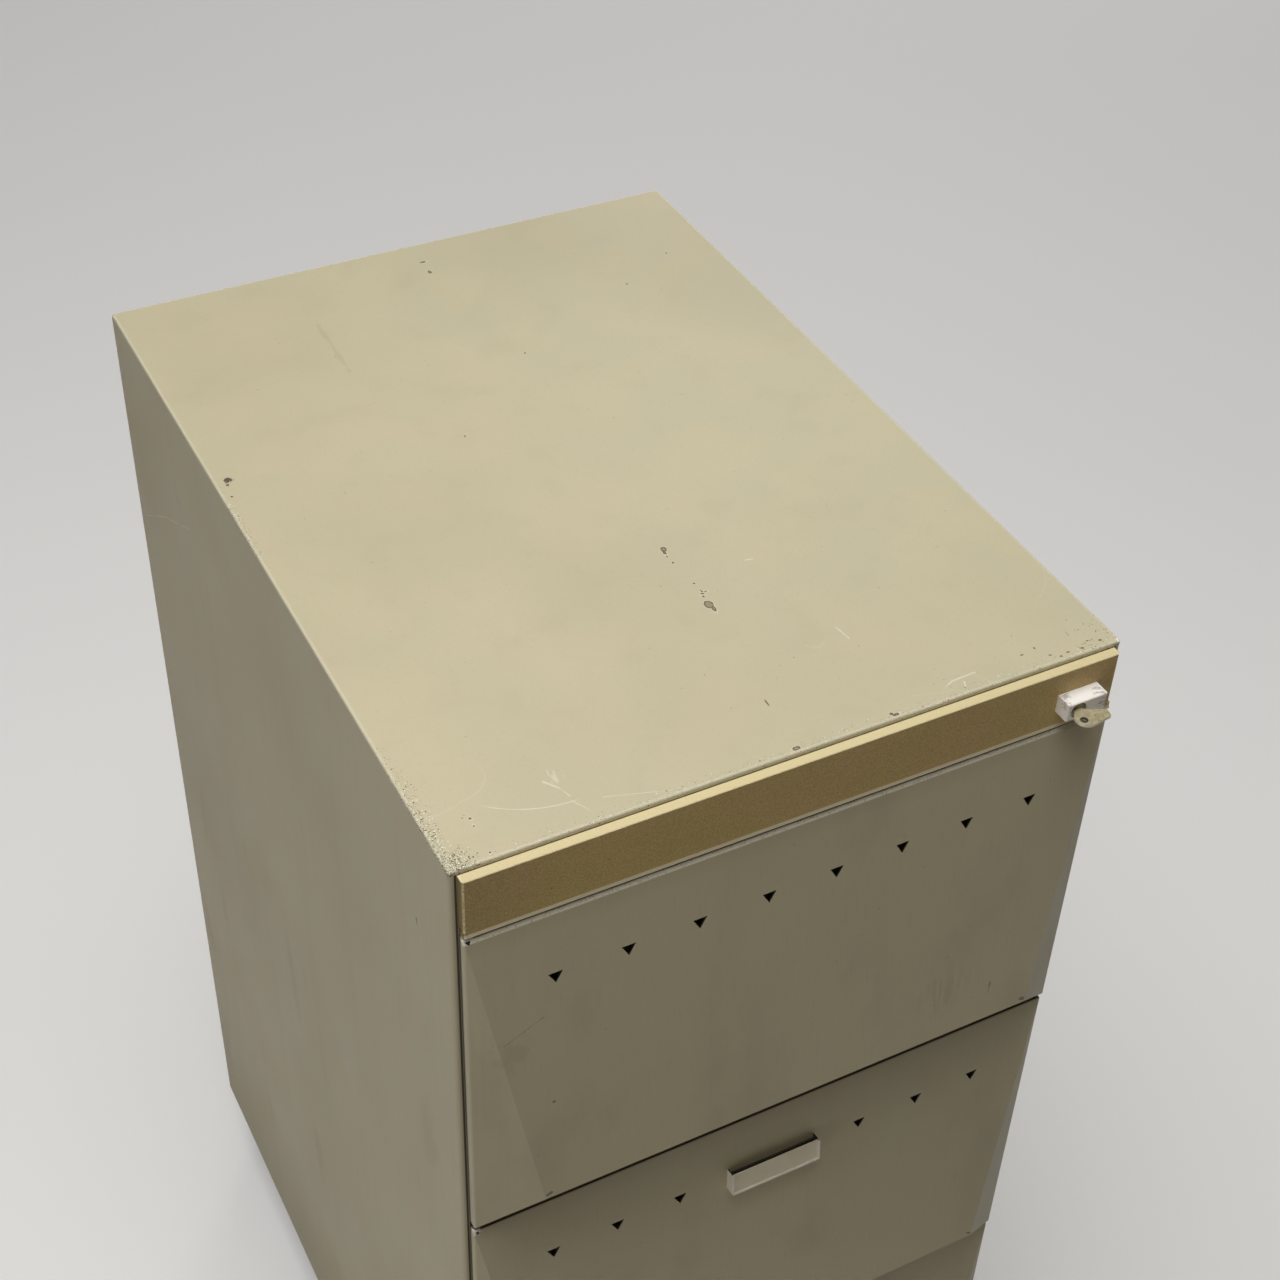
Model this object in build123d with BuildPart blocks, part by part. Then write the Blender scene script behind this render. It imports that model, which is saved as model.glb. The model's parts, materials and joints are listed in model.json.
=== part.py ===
from build123d import *
import os

# Three-drawer steel filing cabinet. Millimetres, +Z up, the front faces -Y.
# The origin lies on the floor, under the middle of the whole cabinet.

# Case
case_width = 460
case_depth = 630
case_height = 1010
case_sheet = 1.2
bend_radius = 1.8
top_lip = 3.2
top_edge_radius = 1.7
stile_width = 27
stile_lip = 4.2
stile_rebate = 6
stile_return = 15
back_flange = 16
fold_gap = 0.1
floor_height = 80
floor_lip = 25
floor_setback = 15.2
floor_lap = 1
upright_starts = {"front": 46, "rear": 556}
upright_width = 38
upright_top_drop = 70
upright_slot_height = 22
upright_slot_width = 7
upright_slot_rises = (60, 110)

# Plinth and feet
plinth_inset = 15
plinth_setback = 32
plinth_base = 8
plinth_sheet = 1.5
plinth_flange = 34
plinth_front_depth = 24
plinth_back_gap = 12
foot_places = (80, 590)
foot_edge_inset = 32
foot_radius = 16
foot_hole_gap = 0.2
foot_stem_radius = 4
foot_stem_top = 30

# Drawers
drawer_count = 3
drawer_pitch = 285
first_front_drop = 51.5
front_width = 450
front_height = 278.5
front_sheet = 1.2
front_top_reach = 7
front_corner_reach = 8.8
front_back_gap = 1.5
front_rim_radius = 1
lip_reach = 32.6
lip_rise = 38.2
lip_half_width = 185
lip_return = 7.5
inner_front_gap = 0.1
inner_front_drop = 5

# Triangular cut-outs
cutout_count = 8
cutout_spacing = 48.4
cutout_side = 10
cutout_drop = 52

# Label holder, clipped into the two middle cut-outs of one front
holder_drawer = 2
holder_width = 71
holder_height = 19.5
holder_depth = 8
holder_back_drop = 4
holder_wall = 1.2
holder_rim = 1.4
holder_sag = 1.2
holder_corner = 1
card_sheet = 0.8
card_gap = 0.1
peg_side = 8
peg_length = 4

# Trays and file rails
tray_half_width = 183
tray_sheet = 1.0
tray_rise = 18
tray_height = 240
tray_depth = 584
tray_hem = 6
file_rail_offset = 165
file_rail_height = 16
file_rail_sheet = 3
file_rail_drop = 3

# Telescopic runners, measured from the cabinet's middle plane outwards
runner_rise = 62
runner_sheet = 1.2
case_runner_web = 215.2
case_runner_mouth = 203.8
case_runner_half_height = 22
case_runner_start = 27
case_runner_end = 602
middle_runner_web = 200.8
middle_runner_mouth = 186.8
middle_runner_half_height = 17.2
middle_runner_start = 20
middle_runner_end = 590
drawer_runner_mouth = 197.6
drawer_runner_half_height = 15.7
drawer_runner_start = 6
drawer_runner_end = 580
roller_radius = 20.3
roller_inner = 204.6
roller_outer = 212.4
roller_bore = 4.1
roller_pin = 4.0
roller_pin_end = 1
roller_places = {"front": 300, "rear": 574}

# Fascia bar and lock
bar_width = 450
bar_top_drop = 3.6
bar_height = 42.2
bar_reach = 7
bar_wall = 1.5
bar_bevel = 1.5
bar_arris = 0.4
bar_back_gap = 0.3
rail_height = 24
rail_flange = 14
top_rail_height = 38
top_rail_drop = 26
rail_end_gap = 0.2
lock_x = 189
lock_drop = 28.3
housing_left = 180.5
housing_width = 29.7
housing_height = 13.4
housing_reach = 18.6
housing_bevel = 0.6
housing_neck_radius = 6.3
housing_neck_end = 12
neck_gap = 0.2
cylinder_radius = 4.9
cylinder_head_radius = 6
cylinder_head_depth = 9
fit_gap = 0.1
key_reach = 34
key_thickness = 2
key_bow_radius = 7.6
key_tip_radius = 1.3
key_tips = ((14.8, -0.2), (14.2, -4.3))
key_hole_radius = 2.1
key_hole_place = (-2.8, -1.6)
key_blade_width = 6.2
key_blade_end = 2
keyway_gap = 0.2
keyway_end = 4
crank_radius = 7
crank_pin_radius = 1.8
crank_pin_rim = 1.4
crank_thickness = 4
crank_back = 18.5
crank_pin_end = 23.5
lock_rod_front = 20
lock_rod_sheet = 1.5
lock_rod_inner = 207
lock_rod_outer = 217
lock_travel = 9.9
lock_rod_end = 30
lock_arm_height = 14
lock_arm_end = 4
lock_slot_gap = 0.4
lock_slot_play = 0.6
hook_height = 10
hook_rise = 2
hook_reach = 4
catch_drop = 60
catch_height = 22
catch_x = 195
catch_end = 29.5
catch_slot_gap = 1.5
guide_levels = (315, 590, 950)
guide_sheet = 2
guide_height = 12
guide_margin = 4
guide_gap = 0.3

front_y = (key_reach - case_depth) / 2
half_width = case_width / 2
card_width = holder_width - 2 * (holder_wall + card_gap)
card_height = holder_height - holder_wall - 2 * card_gap
opening_half = half_width - stile_width - rail_end_gap
foot_x = half_width - foot_edge_inset
lock_z = case_height - lock_drop
crank_offset = crank_radius * 0.5 ** 0.5
lean = (lip_reach - front_top_reach) / (front_height - lip_rise)

os.makedirs("parts", exist_ok=True)


def behind(distance):
    """The Y of a place this far behind the front face of the stiles."""
    return front_y + distance


def front_plane(distance):
    """A plane that faces forward, with X to the right and Z up."""
    return Plane((0, behind(distance), 0), x_dir=(1, 0, 0), z_dir=(0, -1, 0))


def finish(piece, name):
    """Names a finished piece and writes it out."""
    piece.label = name
    export_step(piece, "parts/" + name + ".step")


def folded_sheet(plane, length, points, thickness, bend):
    """A sheet folded at the points that run along the middle of its section.

    Where the bend radius is 0 the folds are sharp, and a small square fills
    the outside of each.
    """
    with BuildPart() as sheet:
        with BuildSketch(plane):
            with BuildLine():
                if bend:
                    FilletPolyline(*points, radius=bend)
                else:
                    Polyline(*points)
            trace(line_width=thickness)
            if not bend:
                with Locations(*points[1:-1]):
                    Rectangle(thickness, thickness)
        extrude(amount=length)
    return sheet.part


def plan_sheet(points, low, high, thickness=case_sheet, bend=0):
    """A folded upright sheet, with its X and Y section points."""
    return folded_sheet(Plane.XY.offset(low), high - low, points, thickness, bend)


def end_sheet(points, start, end, thickness=case_sheet, bend=0):
    """A folded sheet that runs front to back, with its X and Z section points."""
    return folded_sheet(front_plane(end), end - start, points, thickness, bend)


def side_sheet(points, left, right, thickness=case_sheet, bend=0):
    """A folded sheet that runs left to right, with its Y and Z section points."""
    return folded_sheet(Plane.YZ.offset(left), right - left, points, thickness, bend)


def front_top(number):
    """The Z of the top edge of a drawer's front. The top drawer is number 1."""
    return case_height - first_front_drop - (number - 1) * drawer_pitch


def front_bottom(number):
    """The Z of the bottom edge of a drawer's front."""
    return front_top(number) - front_height


def runner_level(number):
    """The Z of the middle of a drawer's runners."""
    return front_bottom(number) + tray_rise + runner_rise


def make_top_panel():
    """The top is a shallow pan turned over, with rounded edges."""
    inner_radius = top_edge_radius - case_sheet
    middle_y = behind(case_depth / 2)
    with BuildPart() as top:
        with BuildSketch(Plane.XY.offset(case_height - top_lip)):
            with Locations((0, middle_y)):
                RectangleRounded(case_width, case_depth, top_edge_radius)
        extrude(amount=top_lip)
        fillet(top.faces().sort_by(Axis.Z)[-1].edges(), radius=top_edge_radius - 0.2)
        with BuildSketch(Plane.XY.offset(case_height - top_lip)):
            with Locations((0, middle_y)):
                RectangleRounded(case_width - 2 * case_sheet, case_depth - 2 * case_sheet, inner_radius)
        extrude(amount=top_lip - case_sheet, mode=Mode.SUBTRACT)
    finish(top.part, "top_panel")


def make_side_panel(name, side):
    """Each side ends in a stile, which is rebated behind the drawer fronts."""
    high = case_height - top_lip - fold_gap
    skin_x = side * (half_width - case_sheet / 2)
    lip_x = side * (half_width - stile_lip - case_sheet / 2)
    stile_x = side * (half_width - stile_width + case_sheet / 2)
    face_y = behind(case_sheet / 2)
    rebate_y = behind(stile_rebate + case_sheet / 2)
    skin_points = [(skin_x, behind(case_depth)), (skin_x, face_y), (lip_x, face_y)]
    stile_points = [(lip_x, behind(0)), (lip_x, rebate_y), (stile_x, rebate_y), (stile_x, behind(stile_return))]
    with BuildPart() as panel:
        add(plan_sheet(skin_points, floor_height, high, bend=bend_radius))
        add(plan_sheet(stile_points, floor_height, high))
    finish(panel.part, name)


def make_back_panel():
    edge_x = half_width - 1.5 * case_sheet - fold_gap
    back_y = behind(case_depth - case_sheet / 2)
    flange_y = behind(case_depth - back_flange)
    points = [(-edge_x, flange_y), (-edge_x, back_y), (edge_x, back_y), (edge_x, flange_y)]
    low = floor_height + case_sheet + fold_gap
    finish(plan_sheet(points, low, case_height - top_lip - fold_gap), "back_panel")


def make_floor_panel():
    """The floor's front lip fills the opening below the bottom drawer."""
    lip_top = floor_height + floor_lip
    level = floor_height + case_sheet / 2
    face_y = behind(case_sheet / 2)
    back_y = behind(rail_flange)
    lap_y = behind(floor_setback + floor_lap)
    lip_points = [(back_y, lip_top), (face_y, lip_top), (face_y, level), (lap_y, level)]
    with BuildPart() as floor:
        add(side_sheet(lip_points, -opening_half, opening_half, bend=bend_radius))
        with BuildSketch(Plane.XY.offset(floor_height)):
            with Locations((0, behind((case_depth + floor_setback) / 2))):
                Rectangle(2 * (half_width - case_sheet - fold_gap), case_depth - floor_setback)
        extrude(amount=case_sheet)
    finish(floor.part, "floor_panel")


def make_plinth():
    """A set-back plinth of three channels."""
    high = floor_height - plinth_sheet / 2
    low = plinth_base + plinth_sheet / 2
    face_y = behind(plinth_setback)
    back_y = face_y + plinth_front_depth
    half = half_width - plinth_inset
    points = [(back_y, high), (face_y, high), (face_y, low), (back_y, low)]
    finish(side_sheet(points, -half, half, plinth_sheet, bend_radius), "plinth_front")
    start = plinth_setback + plinth_front_depth + 1
    end = case_depth - plinth_back_gap
    for name, side in (("left", -1), ("right", 1)):
        web = side * (half - plinth_sheet / 2)
        inner = side * (half - plinth_flange)
        points = [(inner, high), (web, high), (web, low), (inner, low)]
        with BuildPart() as channel:
            add(end_sheet(points, start, end, plinth_sheet))
            with BuildSketch(Plane.XY.offset(plinth_base)):
                with Locations(*[(side * foot_x, behind(place)) for place in foot_places]):
                    Circle(foot_stem_radius + foot_hole_gap)
            extrude(amount=plinth_sheet, mode=Mode.SUBTRACT)
        finish(channel.part, "plinth_" + name)


def make_feet():
    """Four levelling feet: a disc and a stem each."""
    centres = [(side * foot_x, behind(place)) for side in (-1, 1) for place in foot_places]
    with BuildPart() as feet:
        with BuildSketch():
            with Locations(*centres):
                Circle(foot_radius)
        extrude(amount=plinth_base)
        with BuildSketch(Plane.XY.offset(plinth_base)):
            with Locations(*centres):
                Circle(foot_stem_radius)
        extrude(amount=foot_stem_top - plinth_base)
    finish(feet.part, "levelling_feet")


def make_front_rail(name, centre, height):
    """A channel between the stiles, with its flanges turned back."""
    high = centre + (height - case_sheet) / 2
    low = centre - (height - case_sheet) / 2
    face_y = behind(case_sheet / 2)
    back_y = behind(rail_flange)
    points = [(back_y, high), (face_y, high), (face_y, low), (back_y, low)]
    with BuildPart() as rail:
        add(side_sheet(points, -opening_half, opening_half))
        if name == "rail_top":
            with BuildSketch(front_plane(rail_flange)):
                with Locations((lock_x, lock_z)):
                    Circle(housing_neck_radius + neck_gap)
            extrude(amount=rail_flange, mode=Mode.SUBTRACT)
    finish(rail.part, name)


def make_uprights():
    """Four channels that carry the runners, with rows of fixing slots."""
    low = floor_height + case_sheet
    high = case_height - upright_top_drop
    runner_levels = [runner_level(number) for number in range(1, drawer_count + 1)]
    for place, start in upright_starts.items():
        middle_y = behind(start + upright_width / 2)
        slots = [(middle_y, level + rise) for level in runner_levels for rise in upright_slot_rises]
        for name, side in (("left", -1), ("right", 1)):
            near = behind(start + case_sheet / 2)
            far = behind(start + upright_width)
            web = side * (case_runner_web + case_sheet / 2)
            flange = side * (half_width - case_sheet)
            points = [(flange, near), (web, near), (web, far), (flange, far)]
            with BuildPart() as upright:
                add(plan_sheet(points, low, high))
                with BuildSketch(Plane.YZ.offset(web)):
                    with Locations(*slots):
                        Rectangle(upright_slot_width, upright_slot_height)
                extrude(amount=case_sheet, both=True, mode=Mode.SUBTRACT)
            finish(upright.part, "upright_" + place + "_" + name)


def make_fascia_bar():
    """A shallow pan with bevelled edges, crisp along the top, across the front."""
    centre = case_height - bar_top_drop - bar_height / 2
    depth = bar_reach - bar_back_gap
    with BuildPart() as bar:
        with BuildSketch(front_plane(-bar_back_gap)):
            with Locations((0, centre)):
                Rectangle(bar_width, bar_height)
        extrude(amount=depth)
        chamfer(bar.faces().sort_by(Axis.Y)[0].edges().sort_by(Axis.Z)[:-1], length=bar_bevel)
        chamfer(bar.faces().sort_by(Axis.Y)[0].edges().sort_by(Axis.Z)[-1], length=bar_arris)
        with BuildSketch(front_plane(-bar_back_gap)):
            with Locations((0, centre)):
                Rectangle(bar_width - 2 * bar_wall, bar_height - 2 * bar_wall)
        extrude(amount=depth - bar_wall, mode=Mode.SUBTRACT)
        with BuildSketch(front_plane(-bar_back_gap)):
            with Locations((lock_x, lock_z)):
                Circle(housing_neck_radius + neck_gap)
        extrude(amount=depth, mode=Mode.SUBTRACT)
    finish(bar.part, "fascia_bar")


def make_lock_housing():
    """A block in front of the bar, with a neck that reaches through it."""
    bore_depth = housing_neck_end + housing_reach
    with BuildPart() as housing:
        with BuildSketch(front_plane(-bar_reach)):
            with Locations((housing_left + housing_width / 2, lock_z)):
                Rectangle(housing_width, housing_height)
        extrude(amount=housing_reach - bar_reach)
        chamfer(housing.faces().sort_by(Axis.Y)[0].edges(), length=housing_bevel)
        with BuildSketch(front_plane(housing_neck_end)):
            with Locations((lock_x, lock_z)):
                Circle(housing_neck_radius)
        extrude(amount=housing_neck_end + bar_reach)
        with BuildSketch(front_plane(housing_neck_end)):
            with Locations((lock_x, lock_z)):
                Circle(cylinder_radius + fit_gap)
        extrude(amount=bore_depth, mode=Mode.SUBTRACT)
        with BuildSketch(front_plane(cylinder_head_depth - housing_reach)):
            with Locations((lock_x, lock_z)):
                Circle(cylinder_head_radius + fit_gap)
        extrude(amount=cylinder_head_depth, mode=Mode.SUBTRACT)
    finish(housing.part, "lock_housing")


def make_lock_cylinder():
    """The turning cylinder has a keyway in front and a crank with a pin behind."""
    head_back = cylinder_head_depth - fit_gap
    pin_place = (lock_x + crank_offset, lock_z + crank_offset)
    with BuildPart() as cylinder:
        with BuildSketch(front_plane(crank_back)):
            with Locations((lock_x, lock_z)):
                Circle(cylinder_radius)
        extrude(amount=crank_back + housing_reach - head_back)
        with BuildSketch(front_plane(head_back - housing_reach)):
            with Locations((lock_x, lock_z)):
                Circle(cylinder_head_radius)
        extrude(amount=head_back - housing_bevel)
        with BuildSketch(front_plane(crank_back)):
            with Locations((lock_x, lock_z)):
                Circle(cylinder_radius)
            with Locations(pin_place):
                Circle(crank_pin_radius + crank_pin_rim)
            make_hull()
        extrude(amount=crank_thickness)
        with BuildSketch(front_plane(crank_pin_end)):
            with Locations(pin_place):
                Circle(crank_pin_radius)
        extrude(amount=crank_pin_end - crank_back)
        with BuildSketch(front_plane(keyway_end)):
            with Locations((lock_x, lock_z)):
                Rectangle(key_blade_width + 2 * keyway_gap, key_thickness + 2 * keyway_gap)
        extrude(amount=keyway_end + housing_reach, mode=Mode.SUBTRACT)
    finish(cylinder.part, "lock_cylinder")


def make_key():
    """A flat key that lies level, with its bow drawn out to the right."""
    bow_y = behind(-key_reach + key_bow_radius)
    blade_end_y = behind(key_blade_end)
    with BuildPart() as key:
        with BuildSketch(Plane.XY.offset(lock_z - key_thickness / 2)):
            with Locations((lock_x, bow_y)):
                Circle(key_bow_radius)
            with Locations(*[(lock_x + x, bow_y + y) for x, y in key_tips]):
                Circle(key_tip_radius)
            make_hull()
            with Locations((lock_x, (bow_y + blade_end_y) / 2)):
                Rectangle(key_blade_width, blade_end_y - bow_y)
            with Locations((lock_x + key_hole_place[0], bow_y + key_hole_place[1])):
                Circle(key_hole_radius, mode=Mode.SUBTRACT)
        extrude(amount=key_thickness)
    finish(key.part, "key")


def make_lock_rod():
    """A vertical rod whose hooks drop into the drawers' catches."""
    pin_rest_z = lock_z + crank_offset
    slot_left = lock_x + crank_offset - crank_pin_radius - lock_slot_gap
    slot_right = lock_x + crank_radius + crank_pin_radius + lock_slot_gap
    slot_height = 2 * (crank_pin_radius + lock_slot_play)
    rod_bottom = front_top(drawer_count) - catch_drop - lock_rod_end
    rod_top = pin_rest_z + lock_arm_height / 2
    width = lock_rod_outer - lock_rod_inner
    middle_x = (lock_rod_outer + lock_rod_inner) / 2
    arm_left = slot_left - lock_arm_end
    hook_left = catch_x - hook_reach
    with BuildPart() as rod:
        with BuildSketch(front_plane(lock_rod_front + lock_rod_sheet)):
            with Locations((middle_x, (rod_top + rod_bottom) / 2)):
                Rectangle(width, rod_top - rod_bottom)
            with Locations(((arm_left + lock_rod_outer) / 2, pin_rest_z)):
                Rectangle(lock_rod_outer - arm_left, lock_arm_height)
            for number in range(1, drawer_count + 1):
                hook_z = front_top(number) - catch_drop + catch_height + hook_rise + hook_height / 2
                with Locations(((hook_left + lock_rod_outer) / 2, hook_z)):
                    Rectangle(lock_rod_outer - hook_left, hook_height)
            with Locations(((slot_left + slot_right) / 2, pin_rest_z)):
                SlotOverall(slot_right - slot_left, slot_height, mode=Mode.SUBTRACT)
        extrude(amount=lock_rod_sheet)
    finish(rod.part, "lock_rod")


def make_rod_guides():
    """Brackets on the right side panel, each with a slot that the rod slides in."""
    wall_x = half_width - case_sheet
    inner_x = lock_rod_inner - guide_margin
    near_y = behind(lock_rod_front - guide_margin)
    depth = lock_rod_sheet + 2 * guide_margin
    slot_width = lock_rod_outer - lock_rod_inner + 2 * guide_gap
    slot_depth = lock_rod_sheet + 2 * guide_gap
    with BuildPart() as guides:
        for level in guide_levels:
            with BuildSketch(Plane.XY.offset(level)):
                with Locations(((inner_x + wall_x) / 2, near_y + depth / 2)):
                    Rectangle(wall_x - inner_x, depth)
                with Locations(((lock_rod_inner + lock_rod_outer) / 2, near_y + depth / 2)):
                    Rectangle(slot_width, slot_depth, mode=Mode.SUBTRACT)
            extrude(amount=guide_sheet)
            with BuildSketch(Plane.XY.offset(level)):
                with Locations((wall_x - guide_sheet / 2, near_y + depth / 2)):
                    Rectangle(guide_sheet, depth)
            extrude(amount=guide_height)
    finish(guides.part, "lock_rod_guides")


def hipped_form(number, inset):
    """The solid under a drawer front's outer faces, drawn in by an inset.

    The main face leans out from the top edge to the lip, and a triangular
    facet at each side runs from the top corner down to the bottom corner.
    Drawn in, the form also runs past the back and the bottom, to hollow the
    first one out.
    """
    top = front_top(number)
    bottom = front_bottom(number)
    lip_z = bottom + lip_rise
    half = front_width / 2
    face_inset = inset * (1 + lean ** 2) ** 0.5
    face_top = (behind(-front_top_reach + face_inset), top - inset)
    face_low = (behind(-lip_reach + face_inset), lip_z)
    if inset:
        back_y = behind(front_back_gap)
        lower = [(face_low[0], bottom - 1), (back_y, bottom - 1)]
    else:
        back_y = behind(-front_back_gap)
        lower = [(behind(-front_corner_reach), bottom), (back_y, bottom)]
    with BuildPart() as form:
        with BuildSketch(Plane.YZ.offset(inset - half)):
            with BuildLine():
                Polyline((back_y, top - inset), face_top, face_low, *lower, close=True)
            make_face()
        extrude(amount=2 * (half - inset))
        for side in (1, -1):
            top_corner = Vector(side * half, behind(-front_top_reach), top)
            low_corner = Vector(side * half, behind(-front_corner_reach), bottom)
            foot = Vector(side * lip_half_width, behind(-lip_reach), lip_z)
            outward = (foot - top_corner).cross(low_corner - top_corner).normalized() * side
            split(bisect_by=Plane(origin=top_corner - outward * inset, z_dir=outward), keep=Keep.BOTTOM)
    return form.part


def make_drawer_front(number):
    """A folded front with a finger pull under its lip and a row of cut-outs."""
    lip_z = front_bottom(number) + lip_rise
    cutout_z = front_top(number) - cutout_drop
    row_start = -(cutout_count - 1) / 2 * cutout_spacing
    cutouts = [(row_start + place * cutout_spacing, cutout_z) for place in range(cutout_count)]
    rim_y = behind(front_sheet - front_top_reach)
    with BuildPart() as hem:
        with BuildSketch(Plane.YZ):
            with Locations((behind(-lip_reach + (front_sheet + lip_return) / 2), lip_z + front_sheet / 2)):
                Rectangle(lip_return, front_sheet)
        extrude(amount=front_width / 2, both=True)
        add(hipped_form(number, 0), mode=Mode.INTERSECT)
    with BuildPart() as skin:
        add(hipped_form(number, 0))
        fillet(skin.edges().filter_by(Axis.X).group_by(Axis.Z)[-1].sort_by(Axis.Y)[0], radius=front_rim_radius)
        add(hipped_form(number, front_sheet), mode=Mode.SUBTRACT)
        add(hem.part)
        with BuildSketch(Plane.YZ):
            with Locations(((rim_y + front_y) / 2, front_top(number))):
                Rectangle(front_y - rim_y, 3 * front_sheet)
        extrude(amount=front_width / 2 - front_sheet, both=True, mode=Mode.SUBTRACT)
        with BuildSketch(front_plane(-front_top_reach)):
            with Locations(*cutouts):
                RegularPolygon(cutout_side / 3 ** 0.5, 3, rotation=-90)
        extrude(amount=lip_reach - front_top_reach, mode=Mode.SUBTRACT)
    finish(skin.part, "drawer_%d_front" % number)


def make_label_holder(number):
    """An open-topped pocket that stands on the leaning face, and its card."""
    face_reach = front_top_reach + cutout_drop * lean
    row_z = front_top(number) - cutout_drop
    face = Plane(origin=(0, behind(-face_reach), row_z), x_dir=(1, 0, 0), z_dir=(0, -1, lean))
    with BuildPart() as holder:
        with BuildSketch(face):
            with Locations((0, -holder_sag)):
                RectangleRounded(holder_width, holder_height, holder_corner)
        extrude(amount=holder_depth)
        with BuildSketch(face.offset(holder_wall)):
            with Locations((0, -holder_sag + holder_wall)):
                Rectangle(holder_width - 2 * holder_wall, holder_height)
        extrude(amount=holder_depth - 2 * holder_wall, mode=Mode.SUBTRACT)
        with BuildSketch(face.offset(holder_wall)):
            with Locations((0, -holder_sag + holder_rim)):
                Rectangle(holder_width - 2 * holder_rim, holder_height)
        extrude(amount=holder_depth - holder_wall, mode=Mode.SUBTRACT)
        with BuildSketch(face):
            with Locations((0, -holder_sag + holder_height / 2)):
                Rectangle(holder_width - 2 * holder_wall, 2 * holder_back_drop)
        extrude(amount=holder_wall, mode=Mode.SUBTRACT)
        with BuildSketch(face):
            with Locations((-cutout_spacing / 2, 0), (cutout_spacing / 2, 0)):
                RegularPolygon(peg_side / 3 ** 0.5, 3, rotation=-90)
        extrude(amount=-peg_length)
    finish(holder.part, "label_holder")

    with BuildPart() as card:
        with BuildSketch(face.offset(holder_depth - holder_wall - card_sheet - card_gap)):
            with Locations((0, -holder_sag + holder_wall / 2)):
                Rectangle(card_width, card_height)
        extrude(amount=card_sheet)
    finish(card.part, "label_card")


def make_inner_front(number):
    """The plate behind the front, with the catch that the lock holds."""
    half = front_width / 2 - front_sheet - inner_front_gap
    high = front_top(number) - inner_front_drop
    low = front_bottom(number) + inner_front_gap
    catch_top = front_top(number) - catch_drop + catch_height
    slot_width = lock_rod_sheet + 2 * catch_slot_gap
    with BuildPart() as plate:
        with BuildSketch(front_plane(-front_back_gap)):
            with Locations((0, (high + low) / 2)):
                Rectangle(2 * half, high - low)
        extrude(amount=front_sheet)
        with BuildSketch(Plane.YZ.offset(catch_x)):
            with Locations((behind((catch_end - front_back_gap) / 2), catch_top - catch_height / 2)):
                Rectangle(catch_end + front_back_gap, catch_height)
            with Locations((behind(lock_rod_front + lock_rod_sheet / 2), catch_top)):
                Rectangle(slot_width, 2 * (lock_travel + lock_slot_play), mode=Mode.SUBTRACT)
        extrude(amount=front_sheet)
    finish(plate.part, "drawer_%d_inner_front" % number)


def make_tray(number):
    """A folded tray with hemmed sides and a back."""
    low = front_bottom(number) + tray_rise
    high = low + tray_height
    side_x = tray_half_width - tray_sheet / 2
    hem_x = tray_half_width + tray_hem
    floor_z = low + tray_sheet / 2
    hem_z = high - tray_sheet / 2
    right_points = [(side_x, floor_z), (side_x, hem_z), (hem_x, hem_z)]
    left_points = [(-x, z) for x, z in reversed(right_points)]
    with BuildPart() as tray:
        add(end_sheet(left_points + right_points, -front_back_gap, tray_depth, tray_sheet))
        with BuildSketch(front_plane(tray_depth)):
            with Locations((0, (low + high) / 2)):
                Rectangle(2 * side_x, tray_height)
        extrude(amount=tray_sheet)
    finish(tray.part, "drawer_%d_tray" % number)


def make_file_rails(number):
    """Two flat rails on which hanging files ride."""
    top = front_bottom(number) + tray_rise + tray_height - file_rail_drop
    start = -front_back_gap
    end = tray_depth - tray_sheet
    with BuildPart() as rails:
        for side in (-1, 1):
            with BuildSketch(front_plane(end)):
                with Locations((side * file_rail_offset, top - file_rail_height / 2)):
                    Rectangle(file_rail_sheet, file_rail_height)
            extrude(amount=end - start)
    finish(rails.part, "drawer_%d_file_rails" % number)


def channel_points(side, web, mouth, centre, half_height):
    """The X and Z points along the middle of a runner's channel."""
    web_x = side * web
    mouth_x = side * mouth
    high = centre + half_height - runner_sheet / 2
    low = centre - half_height + runner_sheet / 2
    return [(mouth_x, high), (web_x, high), (web_x, low), (mouth_x, low)]


def make_runners(number):
    """Case, middle and drawer members at both sides, and the rollers between."""
    centre = runner_level(number)
    case_web = case_runner_web - runner_sheet / 2
    middle_web = middle_runner_web - runner_sheet / 2
    drawer_web = tray_half_width + runner_sheet / 2
    pin_places = [(behind(place), centre) for place in roller_places.values()]
    for name, side in (("left", -1), ("right", 1)):
        points = channel_points(side, case_web, case_runner_mouth, centre, case_runner_half_height)
        outer = end_sheet(points, case_runner_start, case_runner_end, runner_sheet)
        finish(outer, "drawer_%d_case_runner_%s" % (number, name))

        points = channel_points(side, middle_web, middle_runner_mouth, centre, middle_runner_half_height)
        with BuildPart() as middle:
            add(end_sheet(points, middle_runner_start, middle_runner_end, runner_sheet))
            with BuildSketch(Plane.YZ.offset(side * middle_web)):
                with Locations(*pin_places):
                    Circle(roller_pin)
            extrude(amount=side * (roller_outer + roller_pin_end - middle_web))
        finish(middle.part, "drawer_%d_middle_runner_%s" % (number, name))

        points = channel_points(side, drawer_web, drawer_runner_mouth, centre, drawer_runner_half_height)
        inner = end_sheet(points, drawer_runner_start, drawer_runner_end, runner_sheet)
        finish(inner, "drawer_%d_runner_%s" % (number, name))

    for name, place in roller_places.items():
        with BuildPart() as rollers:
            for side in (-1, 1):
                with BuildSketch(Plane.YZ.offset(side * roller_inner)):
                    with Locations((behind(place), centre)):
                        Circle(roller_radius)
                        Circle(roller_bore, mode=Mode.SUBTRACT)
                extrude(amount=side * (roller_outer - roller_inner))
        finish(rollers.part, "drawer_%d_rollers_%s" % (number, name))


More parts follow.
